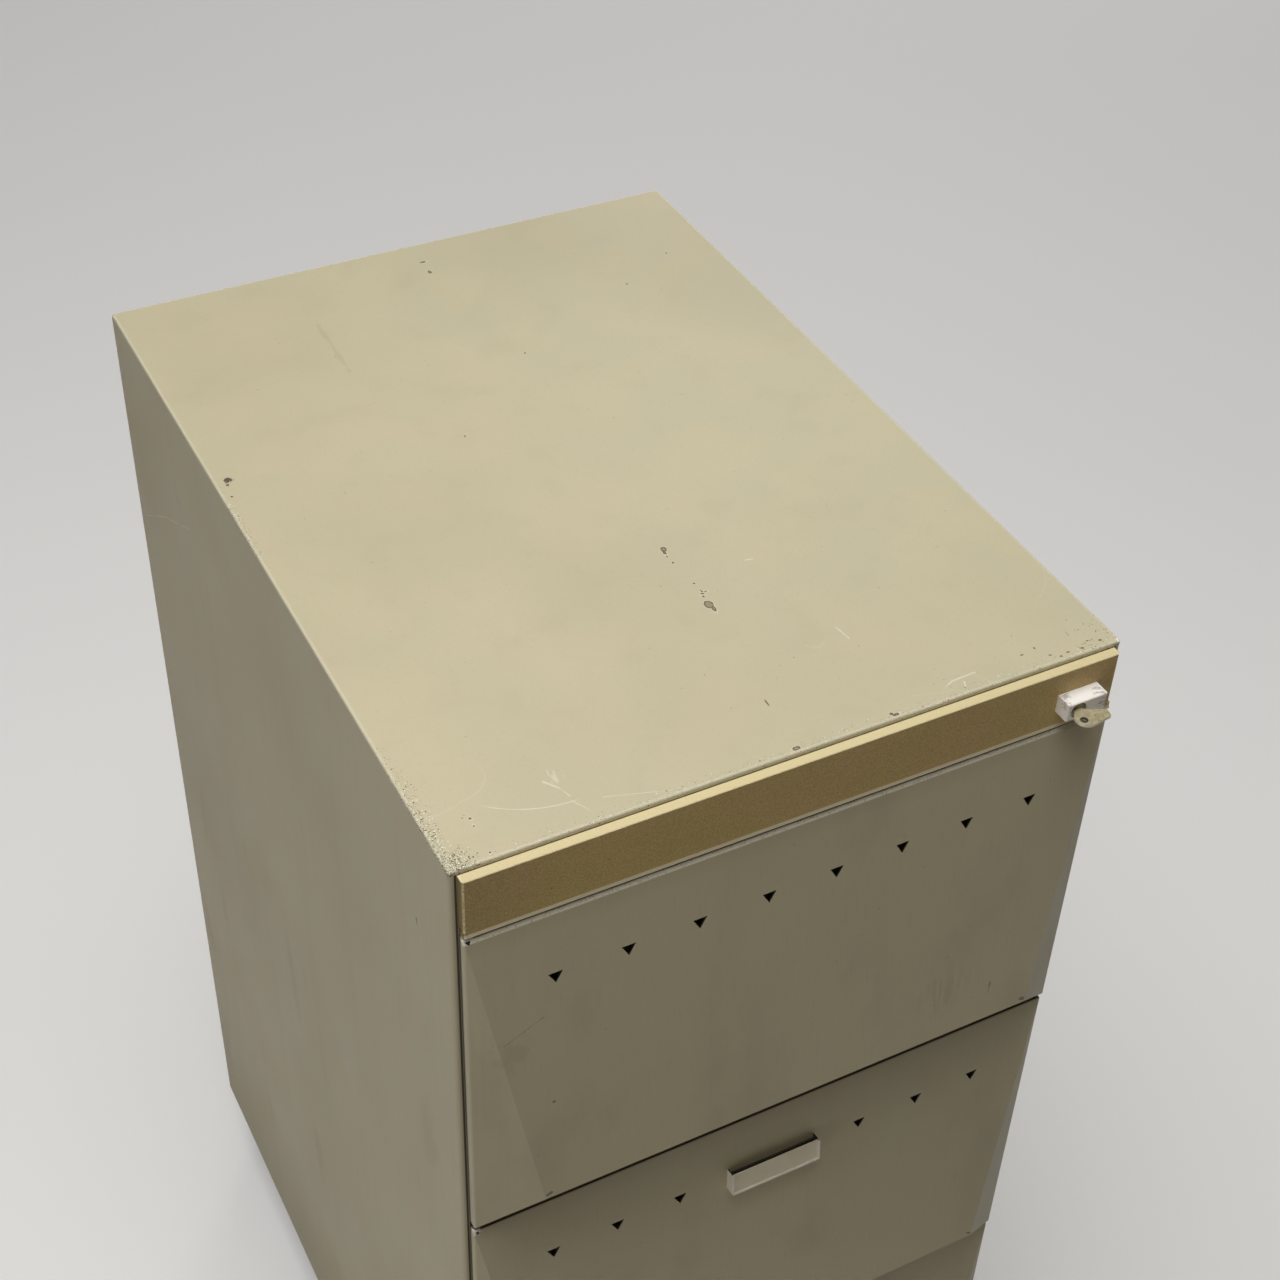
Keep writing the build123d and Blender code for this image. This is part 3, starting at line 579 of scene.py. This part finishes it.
front_enamels = {number: make_front_enamel(number) for number in drawers}
print("front enamels:", sorted(front_enamels))


# %% [markdown]
# ## The olive bar
# The bar is moulded, with a fine leather grain pressed into its face, and its colour drifts between
# olive and brown. Its top face is painted much paler than its front, as a painted highlight where
# the light from above falls, and its end face is painted darker as painted shade. The sharp left
# edge is rubbed to a thin broken line. Masks made from the distance to each edge put these where
# they belong, so no picture has to be wrapped round the bar. The lip that runs below the bar shares
# this finish, and is painted paler still, as a painted highlight.

# %% The bar's finish
lip_fold = bar_low.z - 0.0012


def make_bar_finish():
    finish = Finish("bar_olive")
    grain = finish.noise(1150, detail=2)
    weave = finish.noise(2300, detail=0, stretch=(0.5, 1, 1), shift=(0, 2, 0))
    drift = finish.noise(17, detail=3, stretch=(1, 0, 1))
    colour = finish.blend(finish.step(drift, 0.40, 0.62), paint(200, 176, 108), paint(208, 174, 114))
    colour = finish.blend(finish.step(finish.x, -0.15, -0.22) * 0.35, colour, paint(150, 128, 84))
    colour = finish.blend(finish.step(grain, 0.40, 0.62) * 0.42, colour, paint(140, 117, 68))
    colour = finish.blend(finish.step(weave, 0.58, 0.76) * 0.35, colour, paint(226, 206, 150))
    specks = finish.pits(300, 0.05, size=0.16)
    colour = finish.blend(specks * 0.7, colour, paint(92, 74, 42))
    # Painted highlight: the top face is painted much paler than the front, where the light from above
    # falls.
    top_face_highlight = finish.step(finish.z, bar_high.z - 0.0009, bar_high.z - 0.0002)
    colour = finish.blend(top_face_highlight * 0.85, colour, paint(226, 212, 166))
    from_end = bar_high.x - finish.x.size()
    # Painted highlight: the lip below the fold is painted paler still.
    lip_highlight = finish.step(finish.z, lip_fold + 0.0001, lip_fold - 0.0002)
    colour = finish.blend(lip_highlight * (0.75 + grain * 0.3), colour, paint(222, 210, 178))
    # Painted shade: the end face is painted dark olive brown. The pale arris line beside it is rubbed wear.
    end_face_shade = finish.step(from_end, 0.0004, 0.0001)
    arris = finish.step((from_end - 0.0010).size(), 0.0008, 0.0004)
    colour = finish.blend(end_face_shade * 0.7, colour, paint(112, 92, 56))
    colour = finish.blend(arris * finish.step(grain, 0.42, 0.52) * 0.8, colour, paint(236, 220, 178))
    height = grain + weave * 0.6
    return finish.finish(colour, 0.46 + grain * 0.2, height, depth=0.00035)


bar_finish = make_bar_finish()
print("made", bar_finish.name)


# %% [markdown]
# ## Inner sheet, base and runners
# What is out of sight was finished more cheaply: a thinner, greyer enamel inside, a dark one on
# the base, and zinc plating on the runners, which is spangled and slightly blue.

# %% Inner enamel, base enamel and zinc plating
def make_inner_enamel():
    finish = Finish("inner_enamel")
    colour, roughness, height = ground_coat(finish, paint(172, 164, 142), paint(166, 162, 142))
    rub = finish.step(finish.noise(40, detail=4, stretch=(1, 0.1, 1)), 0.62, 0.75)
    colour = finish.blend(rub * 0.25, colour, paint(110, 102, 86))
    return finish.finish(colour, roughness + 0.08, height, depth=coat_depth)


def make_base_enamel():
    finish = Finish("base_enamel")
    clouds = finish.noise(14, detail=3)
    dust = finish.step(finish.z, 0.075, 0.01) * finish.noise(90, detail=3)
    scuffs = finish.step(finish.noise(60, detail=4, stretch=(0.2, 0.2, 1)), 0.62, 0.7)
    colour = finish.blend(clouds, paint(56, 53, 48), paint(66, 62, 56))
    colour = finish.blend(dust * 0.7, colour, paint(150, 142, 124))
    colour = finish.blend(scuffs * 0.5, colour, paint(120, 114, 100))
    return finish.finish(colour, 0.5 + clouds * 0.2, finish.noise(700, detail=1), depth=0.0002)


def make_zinc(name, light, dark):
    finish = Finish(name)
    spangle = finish.noise(160, detail=3)
    drawn = finish.noise(900, detail=2, stretch=(1, 0.02, 1))
    colour = finish.blend(spangle, dark, light)
    grease = finish.step(finish.noise(34, detail=3, shift=(1, 4, 0)), 0.58, 0.72)
    colour = finish.blend(grease * 0.4, colour, paint(96, 84, 62))
    return finish.finish(colour, 0.30 + drawn * 0.25 + grease * 0.2, drawn, depth=0.0001, metallic=0.9)


inner_enamel = make_inner_enamel()
base_enamel = make_base_enamel()
zinc = make_zinc("zinc_plating", paint(196, 198, 196), paint(160, 164, 166))
print("sheet finishes made:", inner_enamel.name, base_enamel.name, zinc.name)


# %% [markdown]
# ## The lock, the key and the plastics
# The white block is chalky and soiled at its corners. The key and the cylinder were plated once,
# and now show dull yellow-grey metal. The key's cut edges are brighter, partly as rubbed wear and
# partly as a painted highlight, and its hole is painted dark as painted shade.

# %% Small finishes
key_hole_x = 0.0048
key_hole_y = 0.0060


def make_lock_white():
    """Clean white, with soil rubbed into a few places and worn spots along the edges."""
    low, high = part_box("lock_housing")
    finish = Finish("lock_white")
    soil = finish.noise(420, detail=3)
    smear = finish.noise(700, detail=2, stretch=(0.3, 1, 1))
    places = [(low.x + 0.004, low.y + 0.009, high.z), (low.x + 0.001, low.y + 0.004, high.z - 0.003),
              (high.x - 0.004, low.y + 0.004, high.z), (high.x - 0.002, low.y, high.z - 0.006)]
    soiled = joined(finish.patch(place, 0.0052, soil, soft=0.6) for place in places)
    edge = (finish.x - low.x).lower(high.x - finish.x).lower(high.z - finish.z + (finish.y - low.y))
    colour = finish.blend(finish.noise(90), paint(252, 249, 243), paint(244, 239, 230))
    colour = finish.blend(finish.step(smear, 0.60, 0.74) * 0.16, colour, paint(176, 168, 156))
    colour = finish.blend(soiled * finish.step(smear, 0.40, 0.56) * 0.62, colour, paint(150, 142, 130))
    colour = finish.blend(finish.step(edge, 0.0005, 0.0001) * soil * 0.3, colour, paint(170, 160, 140))
    return finish.finish(colour, 0.40 + soil * 0.2, soil, depth=0.00015)


def make_key_plating():
    """Dull yellow-grey plating with small pits, bright along the cut edges as rubbed wear and a painted
    highlight, with painted shade in its hole.
    """
    low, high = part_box("key")
    finish = Finish("key_plating")
    cloud = finish.noise(240, detail=4)
    fine = finish.noise(1800, detail=2, stretch=(0.1, 1, 1))
    pits = finish.pits(650, cloud * 0.22, size=0.36)
    # Painted shade: the key's hole is painted nearly black.
    hole_shade = finish.patch((low.x + key_hole_x, low.y + key_hole_y, high.z), 0.0029, soft=0.15)
    # Bright along the cut edges: partly rubbed wear, partly a painted highlight.
    wall = finish.step(finish.z, high.z - 0.0001, high.z - 0.0004)
    colour = finish.blend(finish.step(cloud, 0.35, 0.65), paint(196, 186, 152), paint(172, 162, 126))
    colour = finish.blend(pits * 0.7, colour, paint(96, 86, 60))
    colour = finish.blend(wall * 0.85, colour, paint(236, 230, 208))
    colour = finish.blend(hole_shade * 0.9, colour, deep_dirt_and_shade)
    return finish.finish(colour, 0.36 + cloud * 0.3, fine - pits, depth=0.0001, metallic=0.35)


def make_worn_plating(name, light, dark, soil):
    finish = Finish(name)
    cloud = finish.noise(240, detail=4)
    fine = finish.noise(1800, detail=2, stretch=(0.1, 1, 1))
    colour = finish.blend(finish.step(cloud, 0.35, 0.65), light, dark)
    colour = finish.blend(finish.step(cloud, 0.6, 0.75) * 0.6, colour, soil)
    return finish.finish(colour, 0.34 + cloud * 0.3, fine, depth=0.00008, metallic=0.8)


def make_plastic(name, light, dark, roughness):
    finish = Finish(name)
    cloud = finish.noise(90, detail=3)
    fine = finish.noise(1500, detail=1)
    colour = finish.blend(finish.step(cloud, 0.35, 0.65), light, dark)
    return finish.finish(colour, roughness + cloud * 0.12, fine, depth=0.00006)


def make_holder_plastic():
    """White moulding, whose open pocket behind the card is painted dark as painted shade."""
    low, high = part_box("label_holder")
    rim = 0.0013
    finish = Finish("holder_plastic")
    cloud = finish.noise(90, detail=3)
    scuff = finish.noise(900, detail=2, stretch=(0.2, 1, 1))
    reach = (on_front(2, 0, low.z) - Vector((0, low.y, low.z))).dot(face_out)
    depth = finish.depth(on_front(2, 0, high.z) - face_out * reach, face_out)
    colour = finish.blend(finish.step(cloud, 0.35, 0.65), paint(252, 248, 238), paint(244, 237, 220))
    colour = finish.blend(finish.step(scuff, 0.56, 0.72) * 0.2, colour, paint(196, 186, 160))
    from_end = high.x - finish.x.size()
    # Painted shade: the open pocket behind the card is painted dark.
    pocket_shade = finish.step(from_end, rim * 0.3, rim * 0.5) * finish.step(depth, rim, rim * 1.3)
    pocket_shade = pocket_shade * finish.step(finish.z, low.z + 0.003, low.z + 0.005)
    colour = finish.blend(pocket_shade * 0.94, colour, paint(44, 35, 24))
    return finish.finish(colour, 0.26 + cloud * 0.12, scuff, depth=0.00006)


def make_card():
    finish = Finish("card_paper")
    fibre = finish.noise(2200, detail=2, stretch=(0.4, 1, 1))
    cloud = finish.noise(50, detail=3)
    colour = finish.blend(finish.step(cloud, 0.3, 0.7), paint(254, 247, 224), paint(248, 240, 214))
    colour = finish.blend(finish.step(fibre, 0.55, 0.8) * 0.2, colour, paint(206, 194, 158))
    return finish.finish(colour, 0.8 + fibre * 0.1, fibre, depth=0.00005)


lock_white = make_lock_white()
key_plating = make_key_plating()
lock_plating = make_worn_plating("lock_plating", paint(150, 146, 126), paint(112, 106, 84),
                                 paint(60, 54, 40))
roller_nylon = make_plastic("roller_nylon", paint(222, 216, 196), paint(208, 200, 176), 0.4)
foot_plastic = make_plastic("foot_plastic", paint(38, 37, 35), paint(52, 50, 46), 0.5)
buffer_rubber = make_plastic("buffer_rubber", paint(62, 58, 52), paint(78, 72, 64), 0.7)
holder_plastic = make_holder_plastic()
card_paper = make_card()
print("made", lock_white.name, key_plating.name, lock_plating.name, roller_nylon.name)
print("made", foot_plastic.name, buffer_rubber.name, holder_plastic.name, card_paper.name)


# %% [markdown]
# ## Dressing the CAD parts
# A CAD node keeps its mesh. Only the material in its slot changes, so one table from slot to
# finish is enough.

# %% Hand the finishes out
def dress(node, material):
    mesh = frame["nodes"][node].data
    mesh.materials.clear()
    mesh.materials.append(material)


finish_of_slot = {
    "body_enamel": case_enamel, "bar_enamel": bar_finish, "inner_enamel": inner_enamel,
    "plinth_enamel": base_enamel, "lock_white": lock_white, "lock_metal": lock_plating,
    "key_metal": key_plating, "runner_steel": zinc, "roller_nylon": roller_nylon,
    "foot_plastic": foot_plastic, "holder_plastic": holder_plastic, "card_paper": card_paper,
}
for subpart in frame["record"]["subparts"]:
    dress(subpart["node"], finish_of_slot[subpart["material_slot"]])
dress("top_panel", top_enamel)
for number in drawers:
    dress("drawer_%d_front" % number, front_enamels[number])


# %% [markdown]
# ## Tools for the small pieces
# The pieces that a fitter adds are round, or cut from a strip. A round one is turned: its half
# section is spun about an axis, and the points on the axis are merged. One copy is made, and then
# repeated wherever a matrix puts it, which keeps each set in one light mesh.

# %% Turn, repeat and fit a piece
def turned(half_section, steps=20):
    """A bmesh spun from (radius, height) points about the Z axis."""
    mesh = bmesh.new()
    points = [mesh.verts.new((radius, 0, height)) for radius, height in half_section]
    edges = [mesh.edges.new(pair) for pair in zip(points, points[1:])]
    bmesh.ops.spin(mesh, geom=points + edges, axis=(0, 0, 1), cent=(0, 0, 0), angle=2 * math.pi,
                   steps=steps, use_merge=True)
    bmesh.ops.remove_doubles(mesh, verts=mesh.verts, dist=0.000002)
    return mesh


def verts_in(items):
    return [item for item in items if isinstance(item, bmesh.types.BMVert)]


def repeated(mesh, places, direction=(0, 0, 1)):
    """Repeats a shape made about the Z axis at each place, turned to the direction."""
    first = mesh.verts[:] + mesh.edges[:] + mesh.faces[:]
    turn = Vector(direction).to_track_quat("Z", "Y")
    for place in places:
        copy = bmesh.ops.duplicate(mesh, geom=first)["geom"]
        matrix = Matrix.LocRotScale(Vector(place), turn, None)
        bmesh.ops.transform(mesh, matrix=matrix, verts=verts_in(copy))
    bmesh.ops.delete(mesh, geom=first, context="VERTS")
    return mesh


def fitted(name, meshes, material, body):
    """Joins meshes into one piece, lets it ride on a body and says which finish it shares."""
    whole = bmesh.new()
    for mesh in meshes:
        bmesh.ops.recalc_face_normals(mesh, faces=mesh.faces)
        part = bpy.data.meshes.new(name)
        mesh.to_mesh(part)
        mesh.free()
        whole.from_mesh(part)
        bpy.data.meshes.remove(part)
    data = bpy.data.meshes.new(name)
    whole.to_mesh(data)
    data.materials.append(material)
    piece = bpy.data.objects.new(name, data)
    bpy.context.scene.collection.objects.link(piece)
    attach(piece, body)
    print(name, "has", len(whole.faces), "faces and rides on", body)
    whole.free()
    return piece


# %% [markdown]
# ## Levelling feet
# Under each corner stands a foot: a moulded pad, a threaded stem and a hexagon nut that locks the
# height. The CAD keeps a plain disc and pin for each, because that is all that touches the floor.
# Turned pads and stems take their place here, and the thread is a row of small ridges.

# %% The feet
foot_low, foot_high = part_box("levelling_feet")
pad_radius = 0.016
pad_height = 0.008
foot_places = [(x, y, 0) for x in (foot_low.x + pad_radius, foot_high.x - pad_radius)
               for y in (foot_low.y + pad_radius, foot_high.y - pad_radius)]
pad_section = [(0, 0), (0.0148, 0), (pad_radius, 0.0012), (pad_radius, 0.0042), (0.0140, 0.0056),
               (0.0078, 0.0062), (0.0070, pad_height), (0, pad_height)]
pad_mesh = repeated(turned(pad_section, 32), foot_places)
pads = fitted("levelling_pads", [pad_mesh], foot_plastic, "case")
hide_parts("levelling_feet")

# %% The threaded stems
stem_radius = 0.004
thread_pitch = 0.00125
thread_depth = 0.0005
thread_turns = int((foot_high.z - pad_height) / thread_pitch)
stem_section = [(0, pad_height)]
for turn_number in range(thread_turns):
    start = pad_height + turn_number * thread_pitch
    stem_section += [(stem_radius - thread_depth, start), (stem_radius, start + thread_pitch / 2)]
stem_section += [(stem_radius - thread_depth, foot_high.z), (0, foot_high.z)]
stem_mesh = repeated(turned(stem_section, 16), foot_places)
print("turns of thread on each stem:", thread_turns)

# %% The nuts
nut_radius = 0.0075
nut_height = 0.0055
nut_low = 0.0098
nut_bevel = 0.0005
nut = bmesh.new()
bmesh.ops.create_circle(nut, cap_ends=True, segments=6, radius=nut_radius)
lifted = bmesh.ops.extrude_face_region(nut, geom=nut.faces[:])["geom"]
bmesh.ops.translate(nut, verts=verts_in(lifted), vec=(0, 0, nut_height))
bmesh.ops.bevel(nut, geom=nut.edges[:], offset=nut_bevel, segments=2, profile=0.5, affect="EDGES",
                material=-1)
nut_places = [(x, y, nut_low) for x, y, z in foot_places]
fitted("levelling_stems", [stem_mesh, repeated(nut, nut_places)], zinc, "case")

# %% [markdown]
# ## Rivets, screws and buffers
# The runners are riveted to the uprights and to the trays, the inner fronts are held by screws,
# and a rubber buffer in each corner of the opening takes the knock of a closing drawer. All are
# low turned forms that stay clear of the rollers, and each rides on the part it is fixed to.

# %% Rivets that hold the runners
rivet_section = [(0.0035, 0), (0.0035, 0.0003), (0.0027, 0.0008), (0.0014, 0.0010), (0, 0.00105)]
rivet_spread = 0.0105
runner_sheet = 0.0012
tray_sheet = 0.001
tray_rivet_shares = (0.06, 0.30, 0.62, 0.94)
case_rivets = []
for number in drawers:
    for side, name in ((-1, "left"), (1, "right")):
        low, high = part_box("drawer_%d_case_runner_%s" % (number, name))
        web_x = (high.x if side > 0 else low.x) - side * runner_sheet
        middle_z = (low.z + high.z) / 2
        uprights = (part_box("upright_front_" + name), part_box("upright_rear_" + name))
        places = [(web_x, (near.y + far.y) / 2, middle_z + rise) for near, far in uprights
                  for rise in (-rivet_spread, rivet_spread)]
        case_rivets.append(repeated(turned(rivet_section, 16), places, (-side, 0, 0)))
fitted("case_runner_rivets", case_rivets, zinc, "case")

for number in drawers:
    runner_low, runner_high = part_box("drawer_%d_runner_left" % number)
    middle_z = (runner_low.z + runner_high.z) / 2
    tray_rivets = []
    for side in (-1, 1):
        inner_x = side * (abs(runner_high.x) - tray_sheet)
        places = [(inner_x, runner_low.y + share * (runner_high.y - runner_low.y), middle_z)
                  for share in tray_rivet_shares]
        tray_rivets.append(repeated(turned(rivet_section, 16), places, (-side, 0, 0)))
    fitted("drawer_%d_tray_rivets" % number, tray_rivets, zinc, "drawer_%d" % number)

# %% Screws through the inner fronts
screw_section = [(0.0048, 0), (0.0048, 0.0006), (0.0040, 0.0006), (0.0040, 0.0016), (0.0034, 0.0022),
                 (0.0016, 0.0024), (0.0014, 0.0014), (0, 0.0014)]
screw_spread = 0.145
screw_rises = (0.035, 0.205)
plate_back = front_y - 0.0015
for number in drawers:
    tray_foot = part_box("drawer_%d_tray" % number)[0].z
    places = [(x, plate_back, tray_foot + rise) for x in (-screw_spread, 0, screw_spread)
              for rise in screw_rises]
    screws = repeated(turned(screw_section, 16), places, (0, 1, 0))
    fitted("drawer_%d_front_screws" % number, [screws], zinc, "drawer_%d" % number)

# %% Rubber buffers on the stiles
rebate_face = front_y + 0.006
buffer_height = 0.0072
buffer_x = 0.2145
buffer_inset = 0.025
buffer_section = [(0, 0), (0.0048, 0), (0.0048, 0.0050), (0.0042, 0.0064), (0.0030, buffer_height),
                  (0, buffer_height)]
buffer_places = []
for number in drawers:
    low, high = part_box("drawer_%d_inner_front" % number)
    buffer_places += [(x, rebate_face, z) for x in (-buffer_x, buffer_x)
                      for z in (low.z + buffer_inset, high.z - buffer_inset)]
buffers = repeated(turned(buffer_section, 20), buffer_places, (0, -1, 0))
fitted("stile_buffers", [buffers], buffer_rubber, "case")

# %% [markdown]
# ## The lip along the bar's foot
# The bar's face runs down past its hollow, and ends in a narrow lip that leans out a little. So it
# catches the light from above as a pale line over the dark gap. A long bar is cut across its front
# with a plane, its lower front edge is drawn out, and a small bevel rounds the nose.

# %% The lip
lip_reach = 0.0008
lip_top = bar_low.z + 0.0016
lip_foot = bar_low.z - 0.0038
lip_depth = 0.0050
lip_proud = 0.0001
nose_bevel = 0.0004
lip_size = Vector((bar_high.x - bar_low.x, lip_depth, lip_top - lip_foot))
lip_middle = Vector((0, bar_low.y + lip_depth / 2 - lip_proud, (lip_top + lip_foot) / 2))
lip = bmesh.new()
bmesh.ops.create_cube(lip, size=1)
bmesh.ops.scale(lip, vec=lip_size, verts=lip.verts)
bmesh.ops.translate(lip, vec=lip_middle, verts=lip.verts)
bmesh.ops.bisect_plane(lip, geom=lip.verts[:] + lip.edges[:] + lip.faces[:], plane_co=(0, 0, lip_fold),
                       plane_no=(0, 0, 1))
nose_top = (lip_fold + lip_foot) / 2
nose_verts = [vert for vert in lip.verts if vert.co.y < lip_middle.y and vert.co.z < nose_top]
bmesh.ops.translate(lip, vec=(0, -lip_reach, 0), verts=nose_verts)
nose = [edge for edge in lip.edges if all(vert in nose_verts for vert in edge.verts)]
bmesh.ops.bevel(lip, geom=nose, offset=nose_bevel, segments=3, profile=0.5, affect="EDGES",
                material=-1)
fitted("bar_lip", [lip], bar_finish, "case")

# %% [markdown]
# ## Softer edges on the mouldings
# The key, the lock block and the label holder have corners that a hand would feel as rounded. Their
# meshes stay as the CAD made them. A Weld modifier joins their loose triangles, and a Bevel after it
# rounds only the sharp edges, so they catch a thin line of light.

# %% Rounded corners
weld_gap = 0.00001
sharp_angle = math.radians(40)


def soften(node, width):
    piece = frame["nodes"][node]
    weld = piece.modifiers.new("weld", "WELD")
    weld.merge_threshold = weld_gap
    bevel = piece.modifiers.new("bevel", "BEVEL")
    bevel.width = width
    bevel.segments = 2
    bevel.limit_method = "ANGLE"
    bevel.angle_limit = sharp_angle
    print("softened", node, "by", width, "m")


soften("lock_housing", 0.0004)
soften("key", 0.0003)
soften("label_holder", 0.0003)

# %% [markdown]
# ## Floor, light and camera
# The floor is plain and pale. One broad lamp above gives the top its level, so a colour there
# renders about as it is written. A weak one near the floor fills the left side, another fills the
# back, and a faint warm world lifts the shadows. The camera stands where the photographer did, a
# little above head height to the left of the front.

# %% The floor
floor_half = 9
floor_glow = 0.22


def make_floor():
    """A plain sheet. The camera and reflections see it pale, and bounced light finds it darker."""
    mesh = bmesh.new()
    bmesh.ops.create_grid(mesh, x_segments=1, y_segments=1, size=floor_half)
    data = bpy.data.meshes.new("floor")
    mesh.to_mesh(data)
    mesh.free()
    floor = bpy.data.objects.new("floor", data)
    bpy.context.scene.collection.objects.link(floor)
    finish = Finish("floor_pale")
    path = finish.add("ShaderNodeLightPath")
    rays = path.socket.node.outputs
    seen = Signal(finish, rays["Is Camera Ray"]).higher(Signal(finish, rays["Is Glossy Ray"]))
    clouds = finish.noise(0.8, detail=3)
    pale = finish.blend(clouds, paint(226, 225, 222), paint(220, 219, 216))
    colour = finish.blend(seen, paint(156, 146, 130), pale)
    finish.link("Emission Color", seen * floor_glow)
    finish.shader.inputs["Emission Strength"].default_value = 1
    data.materials.append(finish.finish(colour, 0.9))


make_floor()


# %% The lamps and the world
def add_lamp(name, place, aim, size, power):
    light = bpy.data.lights.new(name, "AREA")
    light.shape = "SQUARE"
    light.size = size
    light.energy = power
    lamp = bpy.data.objects.new(name, light)
    bpy.context.scene.collection.objects.link(lamp)
    turn = (Vector(aim) - Vector(place)).to_track_quat("-Z", "Y")
    lamp.matrix_world = Matrix.LocRotScale(Vector(place), turn, None)
    lamp.visible_camera = False
    print(name, "gives", power, "W")


add_lamp("lamp_above", (-0.50, -0.25, 3.3), (-0.1, 0, 0.9), 1.8, 62)
add_lamp("lamp_left", (-1.7, -1.0, 0.10), (-0.2, -0.1, 0.20), 0.8, 5)
add_lamp("lamp_behind", (4.4, 6.0, 2.6), (0.1, 0.3, 0.5), 2.4, 95)

world = bpy.data.worlds.new("pale_world")
bpy.context.scene.world = world
world.use_nodes = True
background = world.node_tree.nodes["Background"]
background.inputs["Color"].default_value = (1.0, 0.94, 0.87, 1)
background.inputs["Strength"].default_value = 0.10

# %% The camera
azimuth = math.radians(28.818)
elevation = math.radians(40.745)
roll = math.radians(2.308)
camera_place = Vector((-0.5266, front_y - 0.7476, 1.8727))
picture_size = 1280
focal_pixels = 2124.1
sensor_width = 36

ahead = Vector((math.sin(azimuth) * math.cos(elevation), math.cos(azimuth) * math.cos(elevation),
                -math.sin(elevation)))
level = Vector((math.cos(azimuth), -math.sin(azimuth), 0))
upward = level.cross(ahead)
right = math.cos(roll) * level + math.sin(roll) * upward
up = math.cos(roll) * upward - math.sin(roll) * level
turn = Matrix((right, up, -ahead)).transposed().to_quaternion()
camera_data = bpy.data.cameras.new("camera")
camera_data.sensor_width = sensor_width
camera_data.lens = focal_pixels / picture_size * sensor_width
camera = bpy.data.objects.new("camera", camera_data)
camera.matrix_world = Matrix.LocRotScale(camera_place, turn, None)
bpy.context.scene.collection.objects.link(camera)
bpy.context.scene.camera = camera
bpy.context.scene.view_settings.view_transform = "Standard"
print("camera lens:", round(camera_data.lens, 2), "mm at", [round(value, 3) for value in camera_place])
